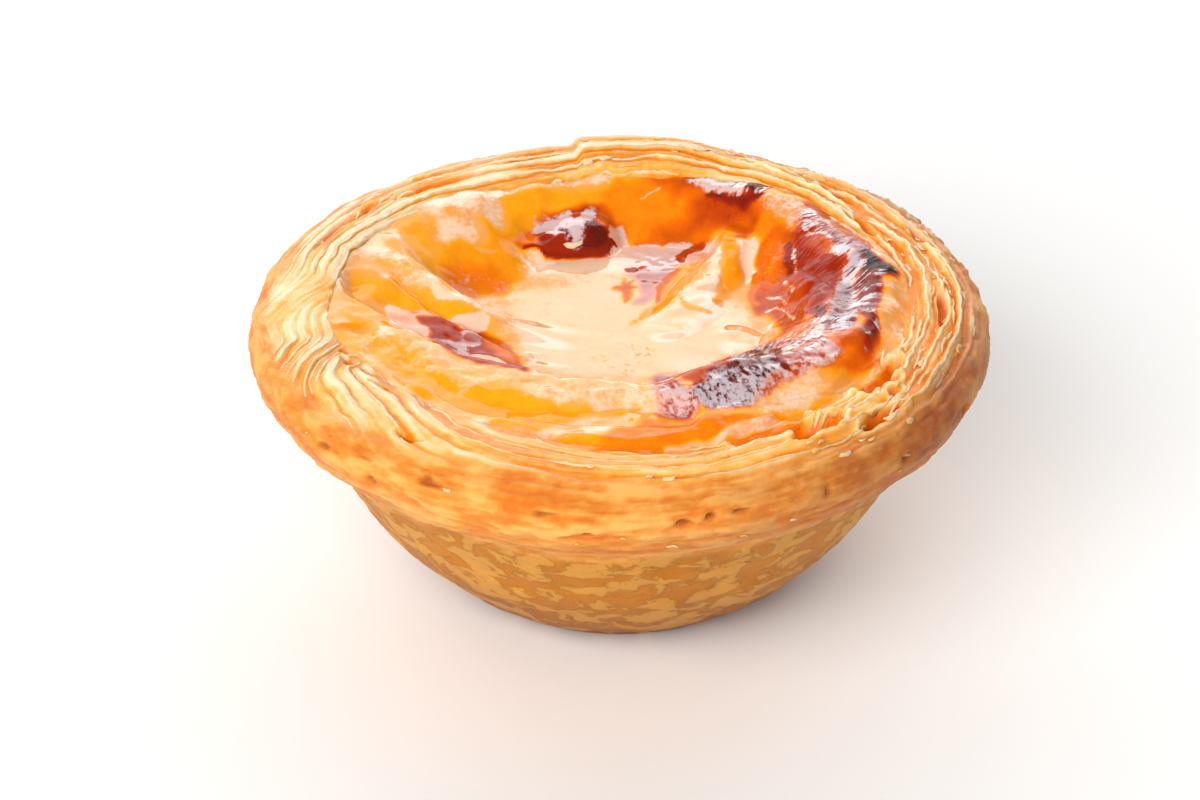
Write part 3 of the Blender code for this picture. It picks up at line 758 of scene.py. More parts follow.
        "leftLipLine": (0.5, 0.5, 0.36, 0.15, ((-29, -4.2), (-27.6, -4), (-25.4, -4.4))),
        "troughLip": (0.15, 0.35, 0.36, 0.85, (
            (-15, -4.2), (-12.8, -4.6), (-10.6, -5.8), (-8, -6.6), (-5.6, -6.2))),
        "tongueLine": (0.1, 0.35, 0.5, 0, ((6.4, 16.2), (5.4, 14.8), (4.7, 13), (4.2, 10.8), (4, 9.2))),
        "rollLineA": (0.15, 0.4, 0.86, 0.1, ((14, -2), (14.6, -5), (14.9, -9.5), (14.2, -12.5))),
        "rollLineB": (0.2, 0.4, 0.78, 0.1, ((15.8, -5), (16.4, -8.5), (16.1, -11), (16.7, -14))),
        "crestLine": (0.02, 0.4, 0.78, 0, ((9.6, 24.6), (11.2, 24), (13, 23.3), (15.6, 22.8))),
        "rollLineD": (0.45, 0.5, 0.9, 0, ((8.4, -5.6), (8.6, -8), (8.7, -10.5), (8.2, -12.2))),
        "flapCream": (0.2, 0.4, 0.1, 0.5, (
            (4.6, -24.9), (9, -23.9), (12.4, -22.2), (15, -20.8), (18.4, -19.9), (21.5, -18), (24, -15.4))),
        "rollSpotA": (0.3, 0.5, 0.9, 0, ((10.6, -4.6), (11.2, -5.6))),
        "rollSpotB": (0.15, 0.4, 0.86, 0, ((9, -12.4), (10.2, -12), (11.2, -11.2))),
        "pinkSpotA": (0.35, 0.3, 0.66, 0.1, ((1.1, 16.3), (1.7, 16.3))),
        "pinkSpotB": (0.2, 0.3, 0.62, 0.2, ((2.5, 16.7), (2.8, 16.8))),
    },
    # how far each shade has baked, and its colour
    "shades": ((0.0, tone(233, 166, 98)), (0.14, tone(233, 166, 98)), (0.29, tone(250, 162, 20)),
               (0.45, tone(232, 108, 2)), (0.66, tone(168, 44, 8)), (0.84, tone(92, 22, 14)),
               (1.0, tone(32, 12, 14))),
    # tones of the painted sheen, reflected light painted into the colour: cream, and a greyer glare on
    # burnt skin
    "paintedSheen": tone(250, 230, 212), "glare": tone(218, 206, 214),
    "paintedSheenStrength": 0.6, "wetness": 0.08, "softness": 0.25,
}


def fromPool(x, y):
    # distance from the middle of the pool, and the direction
    px, py = custard["poolCentre"]
    return np.hypot(x - px, y - py), np.arctan2(y - py, x - px)


def skinHeight(x, y):
    out, angle = fromPool(x, y)
    foot, crest, crestHeight = readRound(custard["slopes"], np.degrees(angle))
    climb = np.clip((out - foot) / (crest - foot), 0, 1)
    height = blend(custard["poolLevel"], crestHeight, blend(climb, ease(0, 1, climb), custard["rounding"]))
    edgeRadius, edgeHeight = readRound(custard["edge"], np.degrees(np.arctan2(y, x)))
    toEdge = np.maximum(edgeRadius - np.hypot(x, y), 0)
    beyond = np.maximum(out - crest, 0)
    height = blend(height, edgeHeight, ease(0, 1, beyond / (beyond + toEdge + 0.01)))
    stray = 0.45 * lumps(stacked(x, y, 0.0), 3.4, 6)   # so that no fold runs quite true
    for flat, reach, path in custard["folds"].values():
        away, columns, _ = nearCurve(x + stray, y - stray, path)
        height = blend(height, columns[..., 0], 1 - ease(flat, reach, away))
    for bx, by, radius, rise in custard["blisters"]:
        height = height + rise * (1 - ease(0.2 * radius, radius, np.hypot(x - bx, y - by)))
    return height


def nearBox(x, y, points, margin):
    # which places are within margin of the points' own box
    ends = np.array(points)
    (west, south), (east, north) = ends.min(0) - margin, ends.max(0) + margin
    return (x > west) & (x < east) & (y > south) & (y < north)


def howBaked(x, y, flat):
    # two values from 0 to 1 over the skin: how far it has baked, and how much glaze and painted sheen lie
    # on it; the sheen is reflected light painted into the colour
    baked = 0.2 + 0.1 * roughLumps(flat, 5.0, 4, 40, 0.6)
    glazeAndPaintedSheen = 0.5 + 0.6 * roughLumps(flat, 4.5, 3, 44)
    # the edges of each patch wander a little
    x = x + 0.35 * roughLumps(flat, 1.8, 2, 41, 0.6)
    y = y + 0.35 * roughLumps(flat, 1.8, 2, 42, 0.6)

    def paint(near, share, level, paintedSheen):
        baked[near] = blend(baked[near], level, share)
        glazeAndPaintedSheen[near] = blend(glazeAndPaintedSheen[near], paintedSheen, share)

    for softness, level, paintedSheen, outline in custard["patches"].values():
        near = nearBox(x, y, outline, 1.5)
        inside = insideOutline(x[near], y[near], outline)
        paint(near, ease(-softness - 0.25, softness + 0.25, inside), level, paintedSheen)
    for half, softness, level, paintedSheen, line in custard["strokes"].values():
        near = nearBox(x, y, line, 2)
        paint(near, ease(half + softness, half, nearCurve(x[near], y[near], line)[0]), level, paintedSheen)
    return np.clip(baked, 0, 1), np.clip(glazeAndPaintedSheen, 0, 1)


def wrinkleRun(x, y, baked):
    # how the skin has puckered: a direction to run across, one to run along, and how strongly
    out, angle = fromPool(x, y)
    slopeFoot = readRound(custard["slopes"], np.degrees(angle))[0]
    onSlope = 0.3 * ease(slopeFoot - 0.5, slopeFoot + 1.5, out) * ease(0.3, 0.8, np.cos(angle))
    away, _, place = nearCurve(x, y, custard["folds"]["burntRoll"][2])
    onRoll = 1 - ease(4.0, 5.2, away)
    across = np.where(onRoll > 0, place * custard["rollLength"], out)
    along = np.where(onRoll > 0, away, angle * out)
    onTheRoll = (0.2 + 0.6 * ease(0.45, 0.7, baked)) * blend(1.0, 0.45, ease(0.66, 0.76, place))
    # nothing puckers on the seam between the two
    strength = blend(onSlope, onTheRoll, onRoll) * ease(0, 0.15, np.abs(onRoll - 0.02) + 0.1)
    return across, along, strength


def awayFromGlow(x, y, height):
    # 1 on slopes, less where the skin lies level and so is already bright with reflected light
    radius = np.hypot(x, y)
    step = radius * 4 * math.pi / custard["around"]
    outward = np.gradient(height, axis=0) / np.gradient(radius, axis=0)
    turned = (np.roll(height, -1, 1) - np.roll(height, 1, 1)) / step
    east = outward * x / radius - turned * y / radius
    north = outward * y / radius + turned * x / radius
    level = (1 - ease(0.02, 0.14, north)) * (1 - ease(0.16, 0.3, -north))
    level = level * (1 - ease(0.25, 0.45, np.abs(east)))
    # the slope behind hides the panel from the skin just in front of it
    return 1 - 0.95 * level * (1 - ease(14.6, 16.8, y))


def skinSpecks(x, y, flat, baked):
    # where the front of the pool has begun to catch in small specks
    front = 1 - ease(4.0, 9.0, np.hypot(x - 4, 1.5 * (y + 2.5)))
    return front * ease(-0.3, 0.3, lumps(flat, 2.6, 46)) * (1 - ease(0.3, 0.4, baked))


def roughenSkin(height, flat, burnt):
    # the pool stays calm, and burnt skin is the roughest
    level = ease(0.9, 0.0, np.abs(height - custard["poolLevel"]) - 0.25)
    calm = 1 - 0.88 * level
    height = height + calm * (0.4 * roughLumps(flat, 5.5, 2, 7) + 0.26 * roughLumps(flat, 2.4, 2, 8))
    return height + 0.16 * roughLumps(flat, 1.3, 2, 9) * burnt


def shapeCustard(material):
    count, rings = custard["around"], custard["rings"]
    turn = np.arange(count) * 2 * math.pi / count
    edge = readRound(custard["edge"], np.degrees(turn))[0] + custard["tuck"]
    reach = edge * (1 - np.arange(rings) / rings)[:, None]
    x, y = reach * np.cos(turn), reach * np.sin(turn)
    flat = stacked(x, y, 0.0)
    height = skinHeight(x, y)
    baked, glazeAndPaintedSheen = howBaked(x, y, flat)
    burnt = ease(0.5, 0.8, baked)
    across, along, strength = wrinkleRun(x, y, baked)
    values = {"baked": baked, "glazeAndPaintedSheen": glazeAndPaintedSheen, "burnt": burnt, "paintedSheenShare": awayFromGlow(x, y, height),
              "specked": skinSpecks(x, y, flat, baked), "across": across, "along": along,
              "puckered": strength}
    top = stacked(x, y, roughenSkin(height, flat, burnt)).reshape(-1, 3)
    # the hidden side and floor close the body
    low = []
    for (radius, z), inset in zip(custard["under"], (None, 0.6, 0.3)):
        radius = np.full(count, radius) if inset is None else np.minimum(radius, edge - inset)
        low.append(stacked(radius * np.cos(turn), radius * np.sin(turn), z))
    centre = [0, 0, skinHeight(np.zeros(1), np.zeros(1))[0]]
    points = np.concatenate([*low, top, [centre, [0, 0, custard["under"][0][1]]]])
    faces = closedByFans(rings + len(low), count, len(points) - 1, len(points) - 2)
    unseen = np.zeros(len(low) * count)
    for label, value in values.items():
        values[label] = np.concatenate([unseen, value.ravel(), [value[-1].mean(), 0.2]])
    return makeMesh("bakedCustard", points, faces, values, material)


def custardMaterial():
    material, tree, shader = newMaterial("glazedCustard")
    spots = useGroup(tree, ovenSpots, Size=1.7, Speck=0.5, Edge=0.3)
    pucker = useGroup(tree, puckers, Across=readValue(tree, "across"), Along=readValue(tree, "along"),
                      Width=0.8, Length=3.2)["Height"]
    puckered, burnt = readValue(tree, "puckered"), readValue(tree, "burnt")
    ragged, fine = less(tree, spots["Patches"], 0.5), less(tree, spots["Specks"], 0.5)
    specks = times(tree, timesPlus(tree, fine, 9.0, -0.9, clamp=True), readValue(tree, "specked"))
    level = add(tree, readValue(tree, "baked"), times(tree, ragged, 0.07))
    level = add(tree, level, times(tree, fine, 0.03))
    level = add(tree, level, times(tree, specks, 0.18), clamp=True)
    colour = colourRamp(tree, level, custard["shades"])
    # the glaze and the painted sheen lie in ragged patches, or in streaks where the skin has puckered; the
    # same cover sets the coat and the share of painted reflected light in the colour
    glazeAndPaintedSheen = less(tree, readValue(tree, "glazeAndPaintedSheen"), times(tree, specks, 0.5))
    cover = add(tree, times(tree, ragged, 0.45), times(tree, fine, 0.4))
    streak = times(tree, less(tree, pucker, 0.7), puckered)
    cover = add(tree, cover, times(tree, streak, 1.6))
    cover = times(tree, cover, timesPlus(tree, burnt, 1.4, 1.0))
    cover = times(tree, cover, times(tree, glazeAndPaintedSheen, 5.0, clamp=True))
    cover = spreadOut(tree, add(tree, cover, glazeAndPaintedSheen), 0.28, 0.78, "SMOOTHSTEP")
    # painted reflection: the sheen's tone mixed into the colour, less where the level skin already shows
    # the lamp
    paintedSheen = times(tree, cover, timesPlus(tree, burnt, 0.15, custard["paintedSheenStrength"]))
    paintedSheen = times(tree, paintedSheen, readValue(tree, "paintedSheenShare"))
    colour = mixColours(tree, paintedSheen, colour, mixColours(tree, burnt, custard["paintedSheen"], custard["glare"]))
    feed(tree, shader.inputs["Base Color"], colour)
    feed(tree, shader.inputs["Roughness"], timesPlus(tree, burnt, 0.1, 0.045))
    feed(tree, shader.inputs["Coat Weight"], timesPlus(tree, cover, 0.9, custard["wetness"]))
    shader.inputs["IOR"].default_value = 1.5
    shader.inputs["Specular IOR Level"].default_value = 0.1
    shader.inputs["Coat IOR"].default_value = 1.6
    shader.inputs["Coat Roughness"].default_value = 0.03
    shader.inputs["Subsurface Weight"].default_value = custard["softness"]
    shader.inputs["Subsurface Radius"].default_value = (1.0, 0.45, 0.16)
    shader.inputs["Subsurface Scale"].default_value = 1.2 * mm
    soft = addNoise(tree, position(tree), 0.7 / mm, 3.0)
    relief = add(tree, times(tree, pucker, puckered), times(tree, soft, 0.16))
    addBump(tree, shader, relief, 1.0, 0.28)
    return material


custardPiece = shapeCustard(custardMaterial())
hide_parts("custard")
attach(custardPiece, "root")
print("custard is shaped:", len(custardPiece.data.polygons), "faces")


# pastry case

case = {
    "around": 640,
    # outside, from the base to the lip, and the laminated top from there to the custard: radius, height
    "wall": (
        (16.4, 0), (17.7, 0.9), (21, 3.5), (24, 6.5), (26.9, 10), (29.4, 14.2), (31.4, 17.8), (32.9, 20.4),
        (34.6, 21.7), (36.6, 23.4), (37.9, 25.4), (38.4, 27.2), (37.9, 28.7)),
    "top": (
        (37.4, 29.1), (36.4, 29.9), (35, 30.5), (33.2, 30.85), (31.4, 30.9), (30.2, 30.7), (29.5, 30.4)),
    "crease": 7,       # which point of the wall lies in the crease under the lip
    "rowGap": (0.54, 0.3, 0.15),   # on the wall, the lip and the laminated top
    "seam": 186.0,                 # where each row starts and ends, in degrees
    "edgeStep": 0.15,              # how far the innermost sheet stands above the custard
    "rimRadius": 33.0, "rimWidth": 9.2, "lipRadius": 38.0,
    "lipShare": (0.1, 0.2, 42.0),  # the smooth lip's share of the rim, how much more in front, how wide
    "holesFrom": 35.5,             # radius
    "inside": ((29.1, 26), (26.6, 18), (15.5, 3.3)),
    "floor": 3.3,
    "foldAngle": 187.0, "foldWidth": 9.0, "foldDepth": 0.9,
    "flake": (76.0, 98.0, 1.1),    # a leaf that lifts off the back of the rim: from, to, lift
    "sheets": 5.4,                 # from the lip to the custard
    "sheetsRound": 13.0,           # that the fans add in all
    "lineWidth": 0.3, "lineLength": 4.0,
    # in the lip: degrees, height, half length, half width, depth
    "holes": (
        (-80.5, 27.4, 1.5, 0.6, 0.9), (-77, 27.9, 0.9, 0.5, 0.8), (-72, 28, 1.2, 0.4, 0.8),
        (-58, 27.4, 0.5, 0.8, 0.5), (-130, 26.6, 0.7, 0.7, 0.6), (-120, 28.8, 2.2, 0.5, 0.8),
        (-101, 28.2, 1.6, 0.4, 0.5), (-95, 26.4, 1, 0.3, 0.4), (-140, 27.9, 1.4, 0.5, 0.5),
        (-42, 27.2, 1.6, 0.6, 0.6), (-24, 26.8, 1.2, 0.4, 0.6), (6, 28.2, 1.4, 0.5, 0.8),
        (18, 27.6, 1, 0.6, 0.7), (60, 27.2, 1.5, 0.5, 0.6), (105, 26.8, 1.2, 0.5, 0.6),
        (150, 27, 1.8, 0.5, 0.6), (172, 26.2, 1, 0.4, 0.5)),
    # open places between the sheets at the front right: depth, and the outline on plan
    "gaps": (
        (1.9, (
            (11, -24), (12, -22.2), (14.6, -20.6), (18.6, -20.2), (18, -22), (19.8, -22.6), (22, -21.8),
            (21.6, -24.6), (19.6, -26.6), (17.6, -28.2), (16.7, -28.2), (17.4, -26.8), (16.5, -26),
            (15, -26.4), (12.8, -27.8), (11.4, -27.6))),
        (1.6, (
            (23.6, -24.8), (24.4, -22.8), (26, -21.2), (28.2, -20.2), (27.8, -21.6), (25.8, -23.6),
            (24.2, -25.2))),
        (1.5, (
            (21.8, -14.2), (24, -12.2), (27.4, -10.4), (28.8, -11.6), (27.6, -14.4), (26.2, -16.8),
            (24.7, -18.2), (24.2, -16.6), (22.6, -15.8))),
        (1.2, (
            (27, -16.4), (27.4, -15.4), (28, -15.4), (27.7, -16.6), (27.1, -17.2))),
        (1.2, (
            (26.8, -18.8), (27.4, -17.9), (28, -17.5), (27.7, -18.4), (27.2, -19))),
    ),
    # from, to, how many sheets run out over it
    "fan": ((190, 209, 6), (206, 246, 3), (530, 546, 4)),
    # how far the sheets stand apart: degrees, openness
    "open": (
        (-110, 0.3), (-88, 0.28), (-62, 0.6), (-30, 0.9), (10, 1), (45, 0.8), (80, 0.5), (120, 0.36),
        (160, 0.28), (184, 0.3), (200, 0.42), (225, 0.34)),
    # how golden the sheets are, and paler on the right, from about -30 to 80 degrees, to make up for the
    # lamps
    # reaching less there: painted light; degrees, warmth
    "warmthAndPaintedLight": (
        (-110, 0.85), (-88, 1), (-62, 0.75), (-30, 0.25), (10, 0.15), (45, 0.15), (80, 0.2), (120, 0.1),
        (160, 0), (184, 0.1), (205, 0.2), (228, 0.45)),
    # how dark the lip has baked: degrees, share
    "browned": (
        (-110, 0.12), (-84, 0.2), (-62, 0.55), (-42, 0.9), (-12, 0.9), (2, 0.4), (20, 0.5), (36, 0.9),
        (55, 0.7), (75, 0.35), (90, 0.5), (110, 0.35), (130, 0.12), (180, 0.1), (225, 0.15)),
    "crisp": (6.0, 18.0, 52.0, 68.0, 0.7),   # where the lip is ragged: the angles between, and how much
    "folded": (162.0, 174.0, 188.0, 198.0),  # where the pastry is folded over itself
    # degrees, place across the rim (0 lip, 1 custard), half length, half width, depth
    "pockets": (
        (-3, 0.52, 4.2, 0.7, 1.6), (8, 0.22, 2.2, 0.5, 1), (22, 0.3, 5, 0.6, 1.1), (33, 0.8, 4, 0.6, 1.1),
        (48, 0.5, 5, 0.6, 1.2), (62, 0.3, 5, 0.5, 1.1), (199, 0.9, 1, 0.5, 1.2), (203, 0.82, 1.4, 0.5, 1.2),
        (208, 0.84, 1.6, 0.5, 1.1), (214, 0.8, 2, 0.4, 1), (150, 0.5, 8, 0.5, 1), (128, 0.66, 7, 0.5, 0.9),
        (140, 0.28, 7, 0.5, 0.9), (108, 0.55, 6, 0.5, 0.8), (232, 0.35, 2, 0.4, 1)),
    # how near a crest each shade of the sheets lies, and how far along its streaks each shade of the lip;
    # the sheets' deeper orange away from the crests is partly their colour and partly painted shade between
    # them
    "sheetShades": ((0.0, tone(236, 132, 14)), (0.4, tone(252, 182, 86)), (0.85, tone(255, 220, 178))),
    "lipShades": ((0.0, tone(222, 122, 40)), (0.35, tone(228, 144, 54)), (0.85, tone(242, 178, 94))),
    # deep orange in pockets and gaps, darker brown in the lip's holes: partly the dough's colour, partly
    # painted shade
    "hollow": tone(226, 112, 0), "pit": tone(188, 100, 36), "toast": tone(146, 66, 36),
    "wallPale": tone(222, 164, 74), "wallGold": tone(198, 122, 18), "wallBrown": tone(168, 88, 18),
    # the tone the wall darkens to at its foot: painted shade
    "wallFootShade": tone(96, 38, 0),
}


def caseRows():
    # the outline from the base to the custard, as rows of radius, height, outward normal, place across the
    # top, how much of the row is lip, and distance from the lip
    wall, top = np.array(case["wall"]), np.array(case["top"])
    outline = smoothCurve(np.concatenate([wall, top]), 24)
    length = np.concatenate([[0], np.cumsum(np.hypot(*np.diff(outline, axis=0).T))])
    crease = length[np.argmin(np.hypot(*(outline - wall[case["crease"]]).T))]
    lip = length[np.argmin(np.hypot(*(outline - top[0]).T))]
    onWall, onLip, onTop = case["rowGap"]
    marks = np.concatenate([np.arange(0, crease, onWall), np.arange(crease, lip, onLip),
                            np.arange(lip, length[-1], onTop), [length[-1]]])
    radius = np.interp(marks, length, outline[:, 0])
    height = np.interp(marks, length, outline[:, 1])
    slope = np.gradient(np.stack([radius, height], 1), marks, axis=0)
    slope /= np.hypot(*slope.T)[:, None]
    across = np.clip((marks - lip) / (length[-1] - lip), 0, 1)
    lipShown = ease(crease - 0.5, crease + 2.5, marks) * (1 - ease(lip, lip + 2.5, marks))
    return radius, height, slope[:, 1], -slope[:, 0], across, lipShown, marks - lip


def between(degrees, start, fully, fading, end):
    # 1 from fully to fading, and 0 outside start and end
    turned = degrees % 360
    return ease(start, fully, turned) * (1 - ease(fading, end, turned))


def flakeLift(degrees):
    start, end, lift = case["flake"]
    return lift * between(degrees, start - 12, start + 4, end - 1.0, end + 0.8)


def foldDip(degrees):
    return case["foldDepth"] * np.exp(-(((degrees % 360) - case["foldAngle"]) / case["foldWidth"]) ** 2)


def openness(degrees):
    return np.clip(readRound(case["open"], degrees)[0], 0.1, 1)


def browning(degrees):
    return np.clip(readRound(case["browned"], degrees)[0], 0, 1)


def lipShare(degrees):
    # how much of the rim the smooth rolled lip takes up
    least, more, spread = case["lipShare"]
    return least + more * np.exp(-(turnedFrom(degrees, -90) / spread) ** 2)


def intoPocket(degrees, across, place, spot, where, long, wide):
    # how far off a pocket's middle each place is, along and across, in half lengths and half widths
    around = np.radians(turnedFrom(degrees, spot)) * case["rimRadius"]
    aside = (across - where) * case["rimWidth"] + 0.5 * lumps(place, 3.0, int(spot) + 400)
    return around / long, aside / wide


def sheetRun(degrees, across, place):
    # how many rolled sheets lie between here and the lip
    spread = across
    for spot, where, long, wide, _ in case["pockets"]:
        around, aside = intoPocket(degrees, across, place * 0, spot, where, long, wide)
        spread = spread - 0.8 * (across - where) * np.exp(-0.7 * around ** 2 - 0.4 * aside ** 2)
    wave = lumps(stacked(degrees / 40, 0.0, 0.0), 1.0, 3)
    run = spread * (case["sheets"] + 0.7 * wave)
    for start, end, count in case["fan"]:
        run = run + count * ease(start, end, (degrees - case["seam"]) % 360 + case["seam"])
    ragged = 0.16 * openness(degrees) * roughLumps(place, 1.3, 2, 14)
    return run + 0.34 * roughLumps(place, 8.0, 2, 11) + 0.1 * lumps(place, 1.8, 12) + ragged


def sheetPattern(degrees, across, place):
    # how near the crest of its sheet each place is, and whether that sheet is whole there
    run = sheetRun(degrees, across, place)
    number = np.floor(run)
    part = run - number
    standing = np.where(part < 0.7, (part / 0.7) ** 1.3, ((1 - part) / 0.3) ** 0.8)
    lying = ease(0.0, 0.22, part) * (1 - ease(0.88, 1.0, part))
    kept = lumps(stacked(degrees / 24 + 7.3 * number, number * 3.1, 0.0), 1.0, 13)
    return run, blend(lying, standing, openness(degrees)), ease(-0.75, 0.25, kept)


def laminated(run, place):
    # fine lines along the sheets, from -1 to 1; the whole rim holds a whole number of sheets
    turned = run * 2 * math.pi / case["sheetsRound"]
    reach = case["sheetsRound"] / (2 * math.pi * case["lineWidth"])
    total = 0
    for size, strength, seed in ((1.0, 0.6, 81), (0.5, 0.5, 82)):
        for k in (0, 1):
            spot = stacked(reach * np.cos(turned) / size, reach * np.sin(turned) / size,
                           place[..., k] / (case["lineLength"] * size))
            total = total + strength * lumps(spot, 1.0, seed + 10 * k)
    return total


def digPockets(degrees, across, place):
    # shallow openings that run with the sheets: how far they go down, and where their floor shows
    depths, floor = np.zeros(degrees.shape), np.zeros(degrees.shape)
    for spot, where, long, wide, depth in case["pockets"]:
        off = intoPocket(degrees, across, place, spot, where, long, wide)
        mask = 1 - ease(0.45, 1.0, np.hypot(*off))
        depths = depths + depth * mask
        floor = np.maximum(floor, mask)
    return depths, floor


def digGaps(x, y, across, place):
    # open places between the sheets: how far they go down, where their floor shows, and their raised edge
    depths, floor, edge = np.zeros(x.shape), np.zeros(x.shape), np.zeros(x.shape)
    front = (y < -8) & (x > 8) & (across > 0)
    uneven = 0.25 * roughLumps(place[front], 1.4, 2, 35)
    fading = 1 - 0.6 * ease(0.85, 1.0, across[front])
    for depth, outline in case["gaps"]:
        within = insideOutline(x[front], y[front], outline) + uneven
        mask = ease(-0.1, 0.4, within)
        depths[front] = depths[front] + depth * mask * fading
        floor[front] = np.maximum(floor[front], mask)
        edge[front] = np.maximum(edge[front], np.exp(-((within + 0.45) / 0.35) ** 2))
    return depths, floor, edge


def digHoles(degrees, radius, place):
    # small holes in the rolled lip: how far they go in, and where they show
    depths, shown = np.zeros(degrees.shape), np.zeros(degrees.shape)
    uneven = 0.5 * roughLumps(place, 1.0, 2, 29)
    for spot, level, long, wide, depth in case["holes"]:
        around = np.radians(turnedFrom(degrees, spot)) * case["lipRadius"] / long
        away = np.hypot(around, (place[..., 2] - level) / wide) + uneven
        mask = (1 - ease(0.3, 1.0, away)) * (radius > case["holesFrom"])
        depths = depths + depth * mask
        shown = np.maximum(shown, mask)
    return depths, shown


def roughenLip(degrees, across, height, place, marks, lipShown):
    # broad dents, streaks that run with the lip, and a stretch where it is ragged
    streak = roughLumps(stacked(degrees * 0.63, place[..., 2] * 2.8 + marks * 0.4, 0.0), 3.4, 4, 26, 0.6)
    push = lipShown * (0.34 * roughLumps(place, 6.0, 3, 25) + 0.3 * streak)
    ragged = case["crisp"][-1] * between(degrees, *case["crisp"][:-1])
    ragged = ragged * ease(21, 23, height) * (1 - ease(0.1, 0.3, across))
    push = push + ragged * roughLumps(place, 1.7, 3, 37, 0.7)
    return push + 0.06 * roughLumps(place, 1.2, 2, 27) * ease(20, 22, height), streak


def shapeCase(material):
    # the case, and its skin as rows for the loose edges that stand on it
    count = case["around"]
    radius, height, outward, upward, across, lipShown, marks = (row[:, None] for row in caseRows())
    column = case["seam"] + np.arange(count)[None, :] * 360 / count
    turn = np.radians(column)
    full = (len(radius), count)
    degrees, across = np.broadcast_to(column, full), np.broadcast_to(across, full)
    place = stacked(radius * np.cos(turn), radius * np.sin(turn), height)
    lip = lipShare(degrees)
    onTop = ease(lip - 0.08, lip + 0.06, across)
    folded = between(degrees, *case["folded"])
    edge, edgeHeight = readRound(custard["edge"], degrees)
    edge = edge + 0.5 * roughLumps(place * [1, 1, 0], 4.0, 3, 34)
    reach = radius + (edge - case["top"][-1][0]) * across ** 1.2

    run, crest, kept = sheetPattern(degrees, across, place)
    middle = np.sin(np.pi * np.clip(across * 0.94 + 0.04, 0, 1)) ** 0.5
    push = onTop * middle * openness(degrees) * (crest * kept - 0.55) * (1 - 0.8 * folded)
    pockets, pocketFloor = digPockets(degrees, across, place)
    gaps, gapFloor, gapEdge = digGaps(reach * np.cos(turn), reach * np.sin(turn), across, place)
    hollow = np.maximum(pocketFloor, gapFloor)
    push = push - pockets * onTop - gaps + 0.35 * gapEdge * onTop
    crest = blend(crest * kept, 0.62 + 0.3 * roughLumps(place, 3.0, 3, 36), 0.85 * folded)
    crest = np.maximum(crest, 0.9 * gapEdge)
    # the wall, uneven where thin pastry has blistered
    onWall = (1 - ease(18.6, 21.4, height + 0.8 * lumps(place, 4.0, 28))) * (across <= 0)
    push = push + onWall * (0.3 * roughLumps(place, 8.0, 3, 23) + 0.2 * roughLumps(place, 2.5, 2, 22))
    rough, streak = roughenLip(degrees, across, height, place, marks, lipShown)
    lines = laminated(run + np.minimum(marks, 0) * 0.8, place)
    holes, pit = digHoles(degrees, radius, place)
    push = push + rough + 0.1 * lines * ease(20, 22, height) - holes

    flatten = ease(0.0, 1.2, height)
    sway = np.sin(np.pi * across)
    r = reach + push * outward * flatten + 0.35 * lumps(place, 9.0, 31) * sway
    r = r + 0.35 * roughLumps(place * [1, 1, 0.3], 22.0, 2, 32) * ease(0, 12, height)
    z = height + push * upward * flatten
    z = z + (edgeHeight + case["edgeStep"] - case["top"][-1][1]) * ease(0.45, 1.0, across)
    z = z + sway ** 0.7 * flakeLift(degrees) - foldDip(degrees) * sway
    z = z + 0.25 * lumps(place, 11.0, 33) * ease(18, 26, height)

    points = stacked(r * np.cos(turn), r * np.sin(turn), np.maximum(z, 0)).reshape(-1, 3)
    inner = []
    for depth, (ir, iz) in enumerate(case["inside"]):
        ir = np.minimum(ir, edge[0] - 0.3 * depth)
        inner.append(stacked(ir * np.cos(turn[0]), ir * np.sin(turn[0]), iz))
    points = np.concatenate([points, *inner, [[0, 0, case["floor"]], [0, 0, 0]]])
    faces = closedByFans(len(radius) + len(inner), count, len(points) - 1, len(points) - 2)
    below = browning(degrees) * ease(0.45, 0.0, across) * onTop
    # golden tone of the sheets, paler on the right: painted light
    warmthAndPaintedLight = readRound(case["warmthAndPaintedLight"], degrees)[0]
    values = {
        # pale at the sheets' crests, deeper orange down between them: partly painted shade
        "crest": crest * (1 - 0.62 * warmthAndPaintedLight), "hollow": hollow, "pit": pit, "wallPart": onWall,
        "laminate": lines, "top": onTop, "streak": 0.5 + 0.9 * streak,
        # how far down the wall, for the painted shade towards its foot
        "foot": 0.8 * ease(14, 1, height + 2.5 * lumps(place, 6.0, 30)),
        "lip": 1 - ease(lip - 0.06, lip + 0.12, across),
        "browned": lipShown * browning(degrees) + 0.75 * (1 - lipShown) * below,
    }
    unseen = np.zeros(len(points) - r.size)
    for label, value in values.items():
        values[label] = np.concatenate([np.broadcast_to(value, full).ravel(), unseen])
    skin = {"run": run, "across": across, "radius": r, "height": z, "hollow": hollow, "degrees": column[0]}
    return makeMesh("flakyCase", points, faces, values, material), skin


def wallColour(tree):
    # pale scraps and bare brown places on a golden wall, and the scraps' mask; towards its foot the wall
    # darkens, with more bare brown and fewer pale scraps: painted shade
    scraps = useGroup(tree, thinScraps, Size=3.7, Cover=0.5, Edge=0.025)["Mask"]
    bare = useGroup(tree, thinScraps, Size=4.0, Cover=0.46, Edge=0.06)["Mask"]
    foot = readValue(tree, "foot")
    colour = mixColours(tree, times(tree, foot, 0.9), case["wallGold"], case["wallFootShade"])
    barer = timesPlus(tree, foot, 0.4, 0.22)
    colour = mixColours(tree, times(tree, bare, barer), colour, case["wallBrown"])
    paler = less(tree, 0.58, times(tree, foot, 0.25))
    return mixColours(tree, times(tree, scraps, paler), colour, case["wallPale"]), scraps


